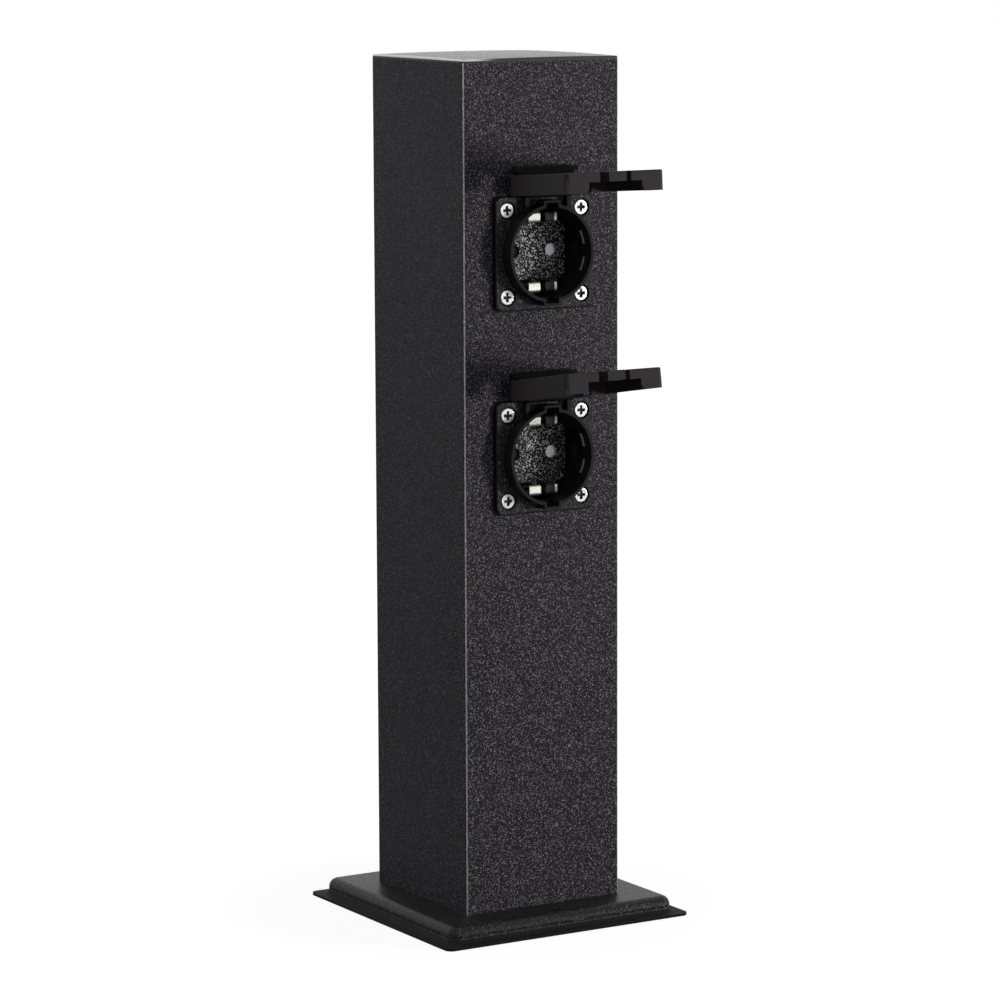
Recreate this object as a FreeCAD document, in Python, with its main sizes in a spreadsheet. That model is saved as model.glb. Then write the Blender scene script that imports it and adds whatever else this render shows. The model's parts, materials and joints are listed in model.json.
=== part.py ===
import FreeCAD, Part
import math
import os
import Sketcher

# Outdoor socket post: a square sheet-metal post on a pressed base plate, with two flange-mounted
# earthed sockets, one above the other, each with its own hinged splash lid.
# Origin at the middle of the base on the ground, +Z up, the sockets face -Y.

# Driving sizes in millimetres.
SIZES = {
    # post, cap and base
    "overall_height": 387.5,
    "post_width": 80.0,
    "post_wall": 1.2,
    "post_bend": 1.4,
    "cap_plate": 1.4,
    "cap_dome_radius": 2000.0,
    "cap_edge": 0.6,
    "cap_corner": 1.5,
    "cap_clearance": 0.25,
    "cap_wall": 1.5,
    "cap_skirt": 12.0,
    "cap_rib_width": 3.0,
    "cap_rib_spacing": 40.0,
    "base_width": 126.4,
    "base_corner": 3.5,
    "base_rise": 8.5,
    "base_sheet": 1.2,
    "base_lip": 5.2,
    "plateau_corner": 5.0,
    "shoulder_radius": 4.0,
    "foot_radius": 2.5,
    "anchor_inset": 6.5,
    "anchor_radius": 2.5,
    # foot of the post
    "tray_clearance": 0.1,
    "tray_sheet": 2.5,
    "tray_height": 18.0,
    "tray_corner": 3.0,
    "base_screw_pitch": 50.0,
    "base_screw_radius": 2.5,
    "base_screw_play": 0.25,
    "base_head_height": 3.5,
    "base_head_radius": 4.6,
    "base_nut_height": 4.0,
    "base_screw_reach": 1.5,
    "inlet_neck_radius": 8.0,
    "inlet_bore_radius": 4.5,
    "inlet_flange_radius": 10.5,
    "inlet_flange": 1.8,
    "stud_offset": 26.0,
    "stud_radius": 2.5,
    "stud_height": 9.0,
    "lug_thickness": 1.0,
    "lug_radius": 4.2,
    # terminal bracket, clamp and block
    "bracket_sheet": 2.0,
    "bracket_width": 36.0,
    "bracket_front": 24.0,
    "bracket_foot": 12.0,
    "bracket_height": 64.0,
    "bracket_bend": 3.0,
    "bracket_screw_spacing": 28.0,
    "bracket_head_radius": 3.5,
    "bracket_head_height": 2.2,
    "clamp_height": 20.0,
    "clamp_width": 10.0,
    "clamp_sheet": 1.5,
    "clamp_screw_spacing": 20.0,
    "block_bottom": 40.0,
    "block_height": 20.0,
    "block_depth": 14.0,
    "pole_pitch": 10.5,
    "pole_width": 8.4,
    "web_height": 9.0,
    "web_depth": 7.0,
    "barrel_radius": 3.0,
    "barrel_bore_radius": 1.6,
    "barrel_screw_spacing": 10.0,
    "small_screw_radius": 1.5,
    "small_head_radius": 2.4,
    "small_head_height": 1.8,
    # places of the sockets
    "upper_drop": 85.5,
    "socket_pitch": 90.0,
    # flange and its fixings
    "gasket_thickness": 0.4,
    "gasket_inset": 0.5,
    "flange_width": 50.0,
    "flange_corner": 4.0,
    "flange_thickness": 1.9,
    "flange_edge": 0.6,
    "screw_spacing": 38.0,
    "screw_hole_radius": 2.2,
    "flange_hole_radius": 2.5,
    "screw_radius": 1.95,
    "screw_head_radius": 3.35,
    "screw_head_height": 1.45,
    "screw_head_round": 0.35,
    "screw_cone": 0.9,
    "screw_cone_rim": 0.15,
    "screw_length": 10.0,
    "counterbore_radius": 3.95,
    "counterbore_depth": 0.8,
    "cross_length": 3.8,
    "cross_width": 0.9,
    "cross_depth": 1.0,
    "nut_radius": 4.0,
    "nut_height": 3.2,
    "cutout_radius": 21.75,
    # collar and well
    "collar_height": 6.5,
    "collar_radius": 21.45,
    "well_radius": 20.1,
    "well_depth": 16.9,
    "barrel_play": 0.35,
    "housing_depth": 21.5,
    "key_half_width": 4.3,
    "key_radius": 23.1,
    "key_slot_half_width": 3.2,
    "key_slot_radius": 22.0,
    "key_slot_depth": 8.2,
    "rib_half_width": 2.85,
    "rib_reach": 17.9,
    "rib_top": 6.0,
    "ledge_radius": 19.3,
    "ledge_half_height": 8.8,
    "ledge_top": 11.7,
    # contact insert
    "insert_play": 0.2,
    "insert_floor": 2.4,
    "pad_height": 3.0,
    "pad_half_width": 17.0,
    "pad_half_height": 13.0,
    "pad_corner": 4.0,
    "pad_edge": 0.5,
    "pad_skin": 1.3,
    "chamber_half_width": 14.6,
    "chamber_half_height": 11.5,
    "pin_spacing": 19.0,
    "pin_hole_radius": 2.85,
    "window_inner": 1.1,
    "window_outer": 7.5,
    "window_low": 13.4,
    "window_high": 18.1,
    "web_half_width": 0.8,
    "web_top": 19.6,
    # shutter
    "slide_gap": 0.3,
    "shutter_thickness": 1.8,
    "shutter_top": 3.6,
    "shutter_travel": 6.2,
    "shutter_window_radius": 3.1,
    "shutter_notch_half_width": 1.9,
    "shutter_notch_depth": 6.6,
    "spring_radius": 0.75,
    "spring_wire_radius": 0.18,
    "spring_turns": 7.0,
    # contact carrier and contacts
    "carrier_depth": 14.5,
    "carrier_rim": 2.0,
    "carrier_boss_play": 0.3,
    "chamber_play": 0.3,
    "snap_half_width": 2.8,
    "snap_depth": 1.6,
    "snap_reach": 0.9,
    "snap_offset": 1.4,
    "snap_play": 0.2,
    "sleeve_bore_radius": 2.4,
    "sleeve_wall": 0.55,
    "sleeve_length": 12.6,
    "sleeve_slit": 0.7,
    "terminal_back": 2.0,
    "terminal_depth": 7.0,
    "terminal_half_width": 4.4,
    "terminal_near": 5.5,
    "terminal_far": 13.0,
    "wire_hole_height": 7.6,
    "wire_hole_offset": 1.9,
    "wire_hole_radius": 1.45,
    "wire_hole_depth": 6.0,
    "terminal_screw_gap": 0.6,
    "terminal_head_radius": 2.1,
    "terminal_head_height": 1.6,
    "tab_thickness": 1.2,
    "strip_thickness": 0.6,
    "strip_width": 11.8,
    "strip_half_width": 7.2,
    "strip_waist_half_width": 4.0,
    "strip_waist_height": 12.4,
    "strip_level": 3.4,
    "strip_leg": 17.5,
    "prong_top": 11.6,
    "prong_tip_inset": 4.4,
    "prong_tip_drop": 0.2,
    "prong_tail_drop": 5.9,
    "prong_tail_inset": 3.0,
    "prong_slot_half_width": 1.35,
    "strip_bend": 0.9,
    # hinge
    "hinge_stand": 3.1,
    "hinge_rise": 27.6,
    "knuckle_radius": 2.4,
    "boss_half_width": 11.7,
    "boss_ear": 2.0,
    "boss_thickness": 3.0,
    "boss_foot": 17.0,
    "knuckle_gap": 0.3,
    "hinge_half_width": 16.5,
    "pin_radius": 1.0,
    "pin_play": 0.05,
    # lid
    "upper_tilt": 4.4,
    "lower_tilt": 9.4,
    "lid_width": 49.4,
    "lid_start": 7.9,
    "lid_length": 46.85,
    "lid_wall": 1.8,
    "lid_plate": 2.2,
    "lid_gap": 1.1,
    "lid_front_corner": 2.0,
    "lid_rear_corner": 1.5,
    "lid_edge": 0.6,
    "seal_thickness": 0.9,
    "seal_gap": 0.36,
    "seal_inner_radius": 18.8,
    "seal_outer_radius": 21.7,
    "neck_back": 3.4,
    "neck_corner": 2.0,
    "ridge_height": 3.54,
    "ridge_thickness": 2.6,
    "ridge_round": 1.5,
    "rear_gap_half_width": 16.0,
    "notch_half_width": 13.4,
    "notch_height": 4.6,
    "notch_round": 2.8,
    "recess_half_width": 7.85,
    "recess_depth": 3.75,
    "tongue_half_width": 4.45,
    "tongue_reach": 1.9,
    # wires
    "wire_radius": 1.2,
    "wire_bend": 9.0,
}

document = FreeCAD.newDocument("socket_post")
sheet = document.addObject("Spreadsheet::Sheet", "Dims")
for row, (alias, number) in enumerate(SIZES.items(), 1):
    sheet.set(f"A{row}", alias)
    sheet.set(f"B{row}", str(number))
    sheet.setAlias(f"B{row}", alias)
document.recompute()


class Size:
    """A length that carries its value and the sheet formula that it comes from."""

    def __init__(self, value, formula):
        self.value = value
        self.formula = formula

    def __float__(self):
        return self.value

    def __add__(self, other):
        other = as_size(other)
        return Size(self.value + other.value, f"({self.formula} + {other.formula})")

    def __sub__(self, other):
        other = as_size(other)
        return Size(self.value - other.value, f"({self.formula} - {other.formula})")

    def __mul__(self, other):
        other = as_size(other)
        return Size(self.value * other.value, f"({self.formula} * {other.formula})")

    def __truediv__(self, other):
        other = as_size(other)
        return Size(self.value / other.value, f"({self.formula} / {other.formula})")

    def __radd__(self, other):
        return as_size(other) + self

    def __rsub__(self, other):
        return as_size(other) - self

    def __rmul__(self, other):
        return as_size(other) * self

    def __neg__(self):
        return Size(-self.value, f"(-1 * {self.formula})")

    def __lt__(self, other):
        return self.value < float(other)

    def __gt__(self, other):
        return self.value > float(other)


def as_size(thing):
    """A plain number becomes a size whose formula is the number itself."""
    if isinstance(thing, Size):
        return thing
    return Size(float(thing), repr(float(thing)))


class Sheet:
    """The sheet's cells as attributes, such as dims.post_width."""

    def __getattr__(self, alias):
        return Size(float(sheet.get(alias)), f"Dims.{alias}")


dims = Sheet()
NODES = []


def bind(owner, target, size):
    """Sets a property to a size and ties it to the sheet."""
    owner.setExpression(target, as_size(size).formula)


def vector(x=0.0, y=0.0, z=0.0):
    return FreeCAD.Vector(float(x), float(y), float(z))


def keep(thing, label, rise=None):
    """Registers a finished piece under its node name, lifted to its height."""
    thing.Label = label
    if rise is not None:
        bind(thing, "Placement.Base.z", rise)
    NODES.append(thing)
    return thing


# Sketch helpers: every corner and centre is tied to the sheet.


def new_body(label):
    return document.addObject("PartDesign::Body", label)


def origin_part(body, role):
    """The body's own origin plane or axis of the given role."""
    for item in body.Origin.OriginFeatures:
        if item.Role == role:
            return item
    raise KeyError(role)


def new_sketch(body, plane, offset=0.0):
    """An empty sketch on one of the body's origin planes, moved along the plane's normal."""
    sketch = body.newObject("Sketcher::SketchObject", "sketch")
    sketch.AttachmentSupport = [(origin_part(body, plane), "")]
    sketch.MapMode = "FlatFace"
    bind(sketch, "AttachmentOffset.Base.z", offset)
    return sketch


def pin_point(sketch, element, position, x, y):
    """Ties one sketch point to its coordinates."""
    for kind, size in (("DistanceX", as_size(x)), ("DistanceY", as_size(y))):
        index = sketch.addConstraint(
            Sketcher.Constraint(kind, -1, 1, element, position, size.value)
        )
        sketch.setExpression(f"Constraints[{index}]", size.formula)


def add_circle(sketch, x, y, radius):
    radius = as_size(radius)
    circle = Part.Circle(vector(x, y), vector(0, 0, 1), radius.value)
    element = sketch.addGeometry(circle, False)
    pin_point(sketch, element, 3, x, y)
    index = sketch.addConstraint(Sketcher.Constraint("Radius", element, radius.value))
    sketch.setExpression(f"Constraints[{index}]", radius.formula)


def corner_arc(before, corner, after, radius):
    """The arc that rounds a corner: its two ends on the straight sides, and the arc."""
    back = (before - corner).normalize()
    ahead = (after - corner).normalize()
    half = back.getAngle(ahead) / 2
    trim = radius / math.tan(half)
    start = corner + back * trim
    end = corner + ahead * trim
    middle = corner + (back + ahead).normalize() * (radius / math.sin(half) - radius)
    return start, end, Part.Arc(start, middle, end)


def add_outline(sketch, corners, closed=True):
    """Straight sides through the corners (x, y) or (x, y, radius); a radius rounds its corner."""
    count = len(corners)
    points = [vector(corner[0], corner[1]) for corner in corners]
    starts = list(points)
    ends = list(points)
    arcs = {}
    for number, corner in enumerate(corners):
        if len(corner) == 3:
            before = points[number - 1]
            after = points[(number + 1) % count]
            ends[number], starts[number], arcs[number] = corner_arc(
                before, points[number], after, float(corner[2])
            )
    lines = {}
    for number in range(count if closed else count - 1):
        after = (number + 1) % count
        lines[number] = sketch.addGeometry(
            Part.LineSegment(starts[number], ends[after]), False
        )
    for number, corner in enumerate(corners):
        before = (number - 1) % count
        joined = before in lines and number in lines
        if number in arcs:
            arc = sketch.addGeometry(arcs[number], False)
            first, last = (1, 2)
            if sketch.getPoint(arc, 1).distanceToPoint(ends[number]) > 1e-6:
                first, last = (2, 1)
            sketch.addConstraint(
                Sketcher.Constraint("Tangent", lines[before], 2, arc, first)
            )
            sketch.addConstraint(
                Sketcher.Constraint("Tangent", lines[number], 1, arc, last)
            )
            index = sketch.addConstraint(
                Sketcher.Constraint("Radius", arc, float(corner[2]))
            )
            sketch.setExpression(f"Constraints[{index}]", as_size(corner[2]).formula)
            mark = sketch.addGeometry(Part.Point(points[number]), True)
            pin_point(sketch, mark, 1, corner[0], corner[1])
            sketch.addConstraint(
                Sketcher.Constraint("PointOnObject", mark, 1, lines[before])
            )
            sketch.addConstraint(
                Sketcher.Constraint("PointOnObject", mark, 1, lines[number])
            )
        elif joined:
            sketch.addConstraint(
                Sketcher.Constraint("Coincident", lines[before], 2, lines[number], 1)
            )
            pin_point(sketch, lines[number], 1, corner[0], corner[1])
        elif number in lines:
            pin_point(sketch, lines[number], 1, corner[0], corner[1])
        else:
            pin_point(sketch, lines[before], 2, corner[0], corner[1])


def add_rectangle(sketch, left, right, low, high, radius=None):
    corners = [(left, low), (right, low), (right, high), (left, high)]
    if radius is not None:
        corners = [(x, y, radius) for x, y in corners]
    add_outline(sketch, corners)


def add_square(sketch, width, radius):
    half = as_size(width) / 2
    add_rectangle(sketch, -half, half, -half, half, radius)


def add_hexagon(sketch, x, y, radius):
    """A hexagon with a corner along each way of its first axis."""
    corners = []
    for step in range(6):
        angle = math.radians(60 * step)
        corners.append((x + radius * math.cos(angle), y + radius * math.sin(angle)))
    add_outline(sketch, corners)


# Feature helpers.


def pad(body, sketch, length, side="along"):
    """Adds the sketch's area along its normal, against it, or half each way."""
    feature = body.newObject("PartDesign::Pad", "pad")
    feature.Profile = sketch
    bind(feature, "Length", length)
    feature.Reversed = side == "against"
    if side == "both":
        feature.SideType = "Symmetric"
    body.Tip = feature
    return feature


def pocket(body, sketch, length=None, side="against"):
    """Cuts the sketch's area against its normal, along it or both ways; no length goes through all."""
    feature = body.newObject("PartDesign::Pocket", "pocket")
    feature.Profile = sketch
    if length is None:
        feature.Type = "ThroughAll"
    else:
        bind(feature, "Length", length)
    feature.Reversed = side == "along"
    if side == "both":
        feature.SideType = "Symmetric"
    body.Tip = feature
    return feature


def mirrored(body, features, plane):
    feature = body.newObject("PartDesign::Mirrored", "mirrored")
    feature.Originals = features
    feature.MirrorPlane = (origin_part(body, plane), [""])
    body.Tip = feature
    return feature


def add_sector(sketch, inner, outer, low, high):
    """A piece of a ring about the origin between two heights, on the right side."""
    corners = {}
    for radius in (inner, outer):
        for level in (low, high):
            x = math.sqrt(float(radius) ** 2 - float(level) ** 2)
            corners[float(radius), float(level)] = vector(x, level)
    arcs = []
    for radius in (inner, outer):
        circle = Part.Circle(vector(), vector(0, 0, 1), float(radius))
        ends = [math.asin(float(level) / float(radius)) for level in (low, high)]
        arc = sketch.addGeometry(Part.ArcOfCircle(circle, ends[0], ends[1]), False)
        pin_point(sketch, arc, 3, 0, 0)
        index = sketch.addConstraint(Sketcher.Constraint("Radius", arc, float(radius)))
        sketch.setExpression(f"Constraints[{index}]", as_size(radius).formula)
        arcs.append(arc)
    for end, level in ((1, low), (2, high)):
        start = corners[float(inner), float(level)]
        stop = corners[float(outer), float(level)]
        line = sketch.addGeometry(Part.LineSegment(start, stop), False)
        sketch.addConstraint(Sketcher.Constraint("Coincident", line, 1, arcs[0], end))
        sketch.addConstraint(Sketcher.Constraint("Coincident", line, 2, arcs[1], end))
        sketch.addConstraint(Sketcher.Constraint("Horizontal", line))
        index = sketch.addConstraint(
            Sketcher.Constraint("DistanceY", -1, 1, line, 1, float(level))
        )
        sketch.setExpression(f"Constraints[{index}]", as_size(level).formula)


def dressed(body, kind, property_name, size, test):
    """Rounds or chamfers the edges of the body whose every point passes the test."""
    document.recompute()
    base = body.Tip
    if "Invalid" in base.State:
        raise RuntimeError(f"{base.Label} of {body.Label} failed")
    names = []
    for number, edge in enumerate(base.Shape.Edges, 1):
        if not edge.Degenerated and all(test(point) for point in edge.discretize(5)):
            names.append(f"Edge{number}")
    if not names:
        raise RuntimeError(f"no edge to dress on {body.Label}")
    feature = body.newObject(kind, "edge")
    feature.Base = (base, names)
    bind(feature, property_name, size)
    body.Tip = feature
    return feature


def rounded(body, radius, test):
    return dressed(body, "PartDesign::Fillet", "Radius", radius, test)


def chamfered(body, size, test):
    return dressed(body, "PartDesign::Chamfer", "Size", size, test)


def near(first, second):
    return abs(float(first) - float(second)) < 1e-3


def mirror_copy(source, normal):
    """A piece and its mirror image as one group of separate solids."""
    image = document.addObject("Part::Mirroring", "mirror_image")
    image.Source = source
    image.Normal = normal
    group = document.addObject("Part::Compound", "group")
    group.Links = [source, image]
    return group


def four_corners(source, first, second):
    return mirror_copy(mirror_copy(source, first), second)


# Levels of the post.

post_inner = dims.post_width - 2 * dims.post_wall
cap_dome = dims.post_width * dims.post_width / (4 * dims.cap_dome_radius)
post_top = dims.overall_height - cap_dome - dims.cap_plate
plateau_width = dims.base_width - 2 * dims.base_lip
anchor_spacing = plateau_width - 2 * dims.anchor_inset
upper_height = dims.overall_height - dims.upper_drop
lower_height = upper_height - dims.socket_pitch
tray_floor = dims.base_rise + dims.tray_sheet
hollow_top = dims.base_rise - dims.base_sheet
half_pitch = dims.base_screw_pitch / 2
base_hole = dims.base_screw_radius + dims.base_screw_play


def base_plate():
    """Pressed sheet: flat lip, concave foot, raised plateau with a rounded shoulder."""
    body = new_body("base_plate")
    half = plateau_width / 2
    sketch = new_sketch(body, "XY_Plane")
    add_square(sketch, dims.base_width, dims.base_corner)
    pad(body, sketch, dims.base_sheet)
    sketch = new_sketch(body, "XY_Plane")
    add_square(sketch, plateau_width, dims.plateau_corner)
    pad(body, sketch, dims.base_rise)
    rounded(
        body,
        dims.foot_radius,
        lambda p: near(p.z, dims.base_sheet) and abs(p.x) < half + 0.01 and abs(p.y) < half + 0.01,
    )
    sketch = new_sketch(body, "XY_Plane")
    add_square(
        sketch,
        plateau_width - 2 * dims.base_sheet,
        dims.plateau_corner - dims.base_sheet,
    )
    pocket(body, sketch, hollow_top, "along")
    rounded(body, dims.shoulder_radius - dims.base_sheet, lambda p: near(p.z, hollow_top))
    rounded(
        body,
        dims.foot_radius + dims.base_sheet,
        lambda p: near(p.z, 0) and abs(p.x) < half and abs(p.y) < half,
    )
    rounded(body, dims.shoulder_radius, lambda p: near(p.z, dims.base_rise))
    sketch = new_sketch(body, "XY_Plane")
    add_circle(sketch, 0, 0, dims.inlet_neck_radius)
    for x in (-half_pitch, half_pitch):
        for y in (-half_pitch, half_pitch):
            add_circle(sketch, x, y, base_hole)
    for y in (-anchor_spacing / 2, anchor_spacing / 2):
        add_circle(sketch, 0, y, dims.anchor_radius)
    pocket(body, sketch, None, "along")
    return keep(body, "base_plate")


def post():
    """Square folded tube with a round cut-out and four screw holes behind each flange."""
    body = new_body("post")
    sketch = new_sketch(body, "XY_Plane", dims.base_rise)
    add_square(sketch, dims.post_width, dims.post_bend)
    add_square(sketch, post_inner, dims.post_bend - dims.post_wall)
    pad(body, sketch, post_top - dims.base_rise)
    sketch = new_sketch(body, "XZ_Plane")
    add_circle(sketch, 0, lower_height, dims.cutout_radius)
    for x in (-dims.screw_spacing / 2, dims.screw_spacing / 2):
        for z in (-dims.screw_spacing / 2, dims.screw_spacing / 2):
            add_circle(sketch, x, lower_height + z, dims.screw_hole_radius)
    cut = pocket(body, sketch, None, "along")
    copies = body.newObject("PartDesign::LinearPattern", "cutouts")
    copies.Originals = [cut]
    copies.Direction = (origin_part(body, "Z_Axis"), [""])
    bind(copies, "Length", dims.socket_pitch)
    copies.Occurrences = 2
    body.Tip = copies
    return keep(body, "post")


def top_cap():
    """Slightly domed plate with a skirt and eight snap ribs that plug into the tube."""
    body = new_body("top_cap")
    half = dims.post_width / 2
    sketch = new_sketch(body, "XY_Plane", post_top)
    add_square(sketch, dims.post_width, dims.cap_corner)
    pad(body, sketch, dims.cap_plate + cap_dome)
    # the dome is a ball that just touches the top and falls by its rise at the corners
    reach = half * half * 2
    ball = (reach + cap_dome * cap_dome) / (2 * cap_dome)
    edge = dims.post_width
    centre = dims.overall_height - ball
    drop = math.sqrt(float(ball) ** 2 - float(edge) ** 2)
    sketch = new_sketch(body, "XZ_Plane")
    arc = Part.ArcOfCircle(
        Part.Circle(vector(0, centre), vector(0, 0, 1), float(ball)),
        math.atan2(drop, float(edge)),
        math.pi / 2,
    )
    low = vector(edge, float(centre) + drop)
    lid_level = dims.overall_height + dims.cap_plate
    top = sketch.addGeometry(arc, False)
    side = sketch.addGeometry(Part.LineSegment(low, vector(edge, lid_level)), False)
    roof = sketch.addGeometry(
        Part.LineSegment(vector(edge, lid_level), vector(0, lid_level)), False
    )
    axis = sketch.addGeometry(
        Part.LineSegment(vector(0, lid_level), vector(0, dims.overall_height)), False
    )
    for first, end, second, start in (
        (top, 1, side, 1),
        (side, 2, roof, 1),
        (roof, 2, axis, 1),
        (axis, 2, top, 2),
    ):
        sketch.addConstraint(Sketcher.Constraint("Coincident", first, end, second, start))
    sketch.addConstraint(Sketcher.Constraint("Vertical", side))
    pin_point(sketch, top, 3, 0, centre)
    pin_point(sketch, axis, 2, 0, dims.overall_height)
    pin_point(sketch, axis, 1, 0, lid_level)
    pin_point(sketch, roof, 1, edge, lid_level)
    dome = body.newObject("PartDesign::Groove", "dome")
    dome.Profile = sketch
    dome.ReferenceAxis = (origin_part(body, "Z_Axis"), [""])
    dome.Angle = 360
    body.Tip = dome
    rounded(
        body,
        dims.cap_edge,
        lambda p: p.z > float(post_top + dims.cap_plate) - 0.05
        and max(abs(p.x), abs(p.y)) > float(half) - float(dims.cap_corner),
    )
    outer = post_inner - 2 * dims.cap_clearance
    sketch = new_sketch(body, "XY_Plane", post_top)
    add_square(sketch, outer, dims.cap_corner)
    add_square(sketch, outer - 2 * dims.cap_wall, dims.cap_corner)
    pad(body, sketch, dims.cap_skirt, "against")
    sketch = new_sketch(body, "XY_Plane", post_top)
    for x in (-dims.cap_rib_spacing / 2, dims.cap_rib_spacing / 2):
        add_rectangle(
            sketch,
            x - dims.cap_rib_width / 2,
            x + dims.cap_rib_width / 2,
            outer / 2 - dims.cap_wall / 2,
            post_inner / 2,
        )
    rib = pad(body, sketch, dims.cap_skirt * 0.8, "against")
    copies = body.newObject("PartDesign::PolarPattern", "ribs")
    copies.Originals = [rib]
    copies.Axis = (origin_part(body, "Z_Axis"), [""])
    copies.Angle = 360
    copies.Occurrences = 4
    body.Tip = copies
    return keep(body, "top_cap")


def foot_tray():
    """Tray welded into the foot of the tube: it stands on the base and takes its screws."""
    body = new_body("foot_tray")
    width = post_inner - 2 * dims.tray_clearance
    sketch = new_sketch(body, "XY_Plane", dims.base_rise)
    add_square(sketch, width, dims.tray_corner)
    pad(body, sketch, dims.tray_height)
    sketch = new_sketch(body, "XY_Plane", tray_floor)
    add_square(sketch, width - 2 * dims.tray_sheet, dims.tray_corner)
    pocket(body, sketch, None, "along")
    sketch = new_sketch(body, "XY_Plane")
    add_circle(sketch, 0, 0, dims.inlet_neck_radius)
    for x in (-half_pitch, half_pitch):
        for y in (-half_pitch, half_pitch):
            add_circle(sketch, x, y, base_hole)
    for x in (-dims.bracket_screw_spacing / 2, dims.bracket_screw_spacing / 2):
        add_circle(sketch, x, bracket_screw_y, dims.small_screw_radius)
    pocket(body, sketch, None, "along")
    return keep(body, "foot_tray")


def base_screws():
    """Four hexagon screws under the plateau, up through the base and the tray."""
    body = new_body("base_screw")
    top = tray_floor + dims.base_nut_height + dims.base_screw_reach
    sketch = new_sketch(body, "XY_Plane", hollow_top)
    add_hexagon(sketch, half_pitch, half_pitch, dims.base_head_radius)
    pad(body, sketch, dims.base_head_height, "against")
    sketch = new_sketch(body, "XY_Plane", hollow_top)
    add_circle(sketch, half_pitch, half_pitch, dims.base_screw_radius)
    pad(body, sketch, top - hollow_top)
    return keep(four_corners(body, vector(1), vector(0, 1)), "base_screws")


def base_nuts():
    body = new_body("base_nut")
    sketch = new_sketch(body, "XY_Plane", tray_floor)
    add_hexagon(sketch, half_pitch, half_pitch, dims.base_head_radius)
    add_circle(sketch, half_pitch, half_pitch, dims.base_screw_radius)
    pad(body, sketch, dims.base_nut_height)
    return keep(four_corners(body, vector(1), vector(0, 1)), "base_nuts")


def cable_grommet():
    """Rubber ring in the middle hole: the supply cable comes up through its bore."""
    body = new_body("cable_grommet")
    low = hollow_top - dims.inlet_flange
    high = tray_floor + dims.inlet_flange
    lip = dims.inlet_flange / 3
    sketch = new_sketch(body, "XZ_Plane")
    add_outline(
        sketch,
        [
            (dims.inlet_bore_radius, low),
            (dims.inlet_flange_radius, low, lip),
            (dims.inlet_flange_radius, hollow_top),
            (dims.inlet_neck_radius, hollow_top),
            (dims.inlet_neck_radius, tray_floor),
            (dims.inlet_flange_radius, tray_floor),
            (dims.inlet_flange_radius, high, lip),
            (dims.inlet_bore_radius, high),
        ],
    )
    ring = body.newObject("PartDesign::Revolution", "ring")
    ring.Profile = sketch
    ring.ReferenceAxis = (origin_part(body, "Z_Axis"), [""])
    ring.Angle = 360
    body.Tip = ring
    return keep(body, "cable_grommet")


# Terminal bracket with the cable clamp and the terminal block, behind the supply inlet.

bracket_screw_y = (dims.bracket_foot + dims.bracket_front) / 2 - dims.bracket_bend / 2
clamp_level = tray_floor + dims.clamp_height
block_low = tray_floor + dims.block_bottom
block_middle = block_low + dims.block_height / 2
barrel_y = dims.bracket_front - dims.block_depth / 2
saddle_radius = dims.inlet_bore_radius


def terminal_bracket():
    """Bent sheet: a foot on the tray and an upright that carries the clamp and the block."""
    body = new_body("terminal_bracket")
    back = dims.bracket_front + dims.bracket_sheet
    sketch = new_sketch(body, "YZ_Plane")
    add_outline(
        sketch,
        [
            (dims.bracket_foot, tray_floor),
            (back, tray_floor, dims.bracket_bend),
            (back, tray_floor + dims.bracket_height),
            (dims.bracket_front, tray_floor + dims.bracket_height),
            (
                dims.bracket_front,
                tray_floor + dims.bracket_sheet,
                dims.bracket_bend - dims.bracket_sheet,
            ),
            (dims.bracket_foot, tray_floor + dims.bracket_sheet),
        ],
    )
    pad(body, sketch, dims.bracket_width, "both")
    sketch = new_sketch(body, "XY_Plane")
    for x in (-dims.bracket_screw_spacing / 2, dims.bracket_screw_spacing / 2):
        add_circle(sketch, x, bracket_screw_y, dims.small_screw_radius)
    pocket(body, sketch, None, "along")
    sketch = new_sketch(body, "XZ_Plane")
    for x in (-dims.clamp_screw_spacing / 2, dims.clamp_screw_spacing / 2):
        add_circle(sketch, x, clamp_level, dims.small_screw_radius)
    for x in (-dims.pole_pitch / 2, dims.pole_pitch / 2):
        add_circle(sketch, x, block_middle, dims.small_screw_radius)
    pocket(body, sketch, None, "against")
    return keep(body, "terminal_bracket")


def panel_screw(label, x, y_seat, z, length):
    """A small round-headed screw whose head sits at y_seat and whose shank runs towards +Y."""
    body = new_body(label)
    sketch = new_sketch(body, "XZ_Plane", -y_seat)
    add_circle(sketch, x, z, dims.small_head_radius)
    pad(body, sketch, dims.small_head_height)
    front = y_seat - dims.small_head_height
    rounded(body, dims.small_head_height / 2, lambda p: near(p.y, front))
    sketch = new_sketch(body, "XZ_Plane", -y_seat)
    add_circle(sketch, x, z, dims.small_screw_radius)
    pad(body, sketch, length, "against")
    return body


def bracket_screws():
    """Two screws from the bracket's foot down into the tray."""
    body = new_body("bracket_screw")
    level = tray_floor + dims.bracket_sheet
    x = dims.bracket_screw_spacing / 2
    sketch = new_sketch(body, "XY_Plane", level)
    add_circle(sketch, x, bracket_screw_y, dims.bracket_head_radius)
    pad(body, sketch, dims.bracket_head_height)
    top = level + dims.bracket_head_height
    rounded(body, dims.bracket_head_height / 2, lambda p: near(p.z, top))
    sketch = new_sketch(body, "XY_Plane", level)
    add_circle(sketch, x, bracket_screw_y, dims.small_screw_radius)
    pad(body, sketch, dims.bracket_sheet + dims.tray_sheet, "against")
    return keep(mirror_copy(body, vector(1)), "bracket_screws")


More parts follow.
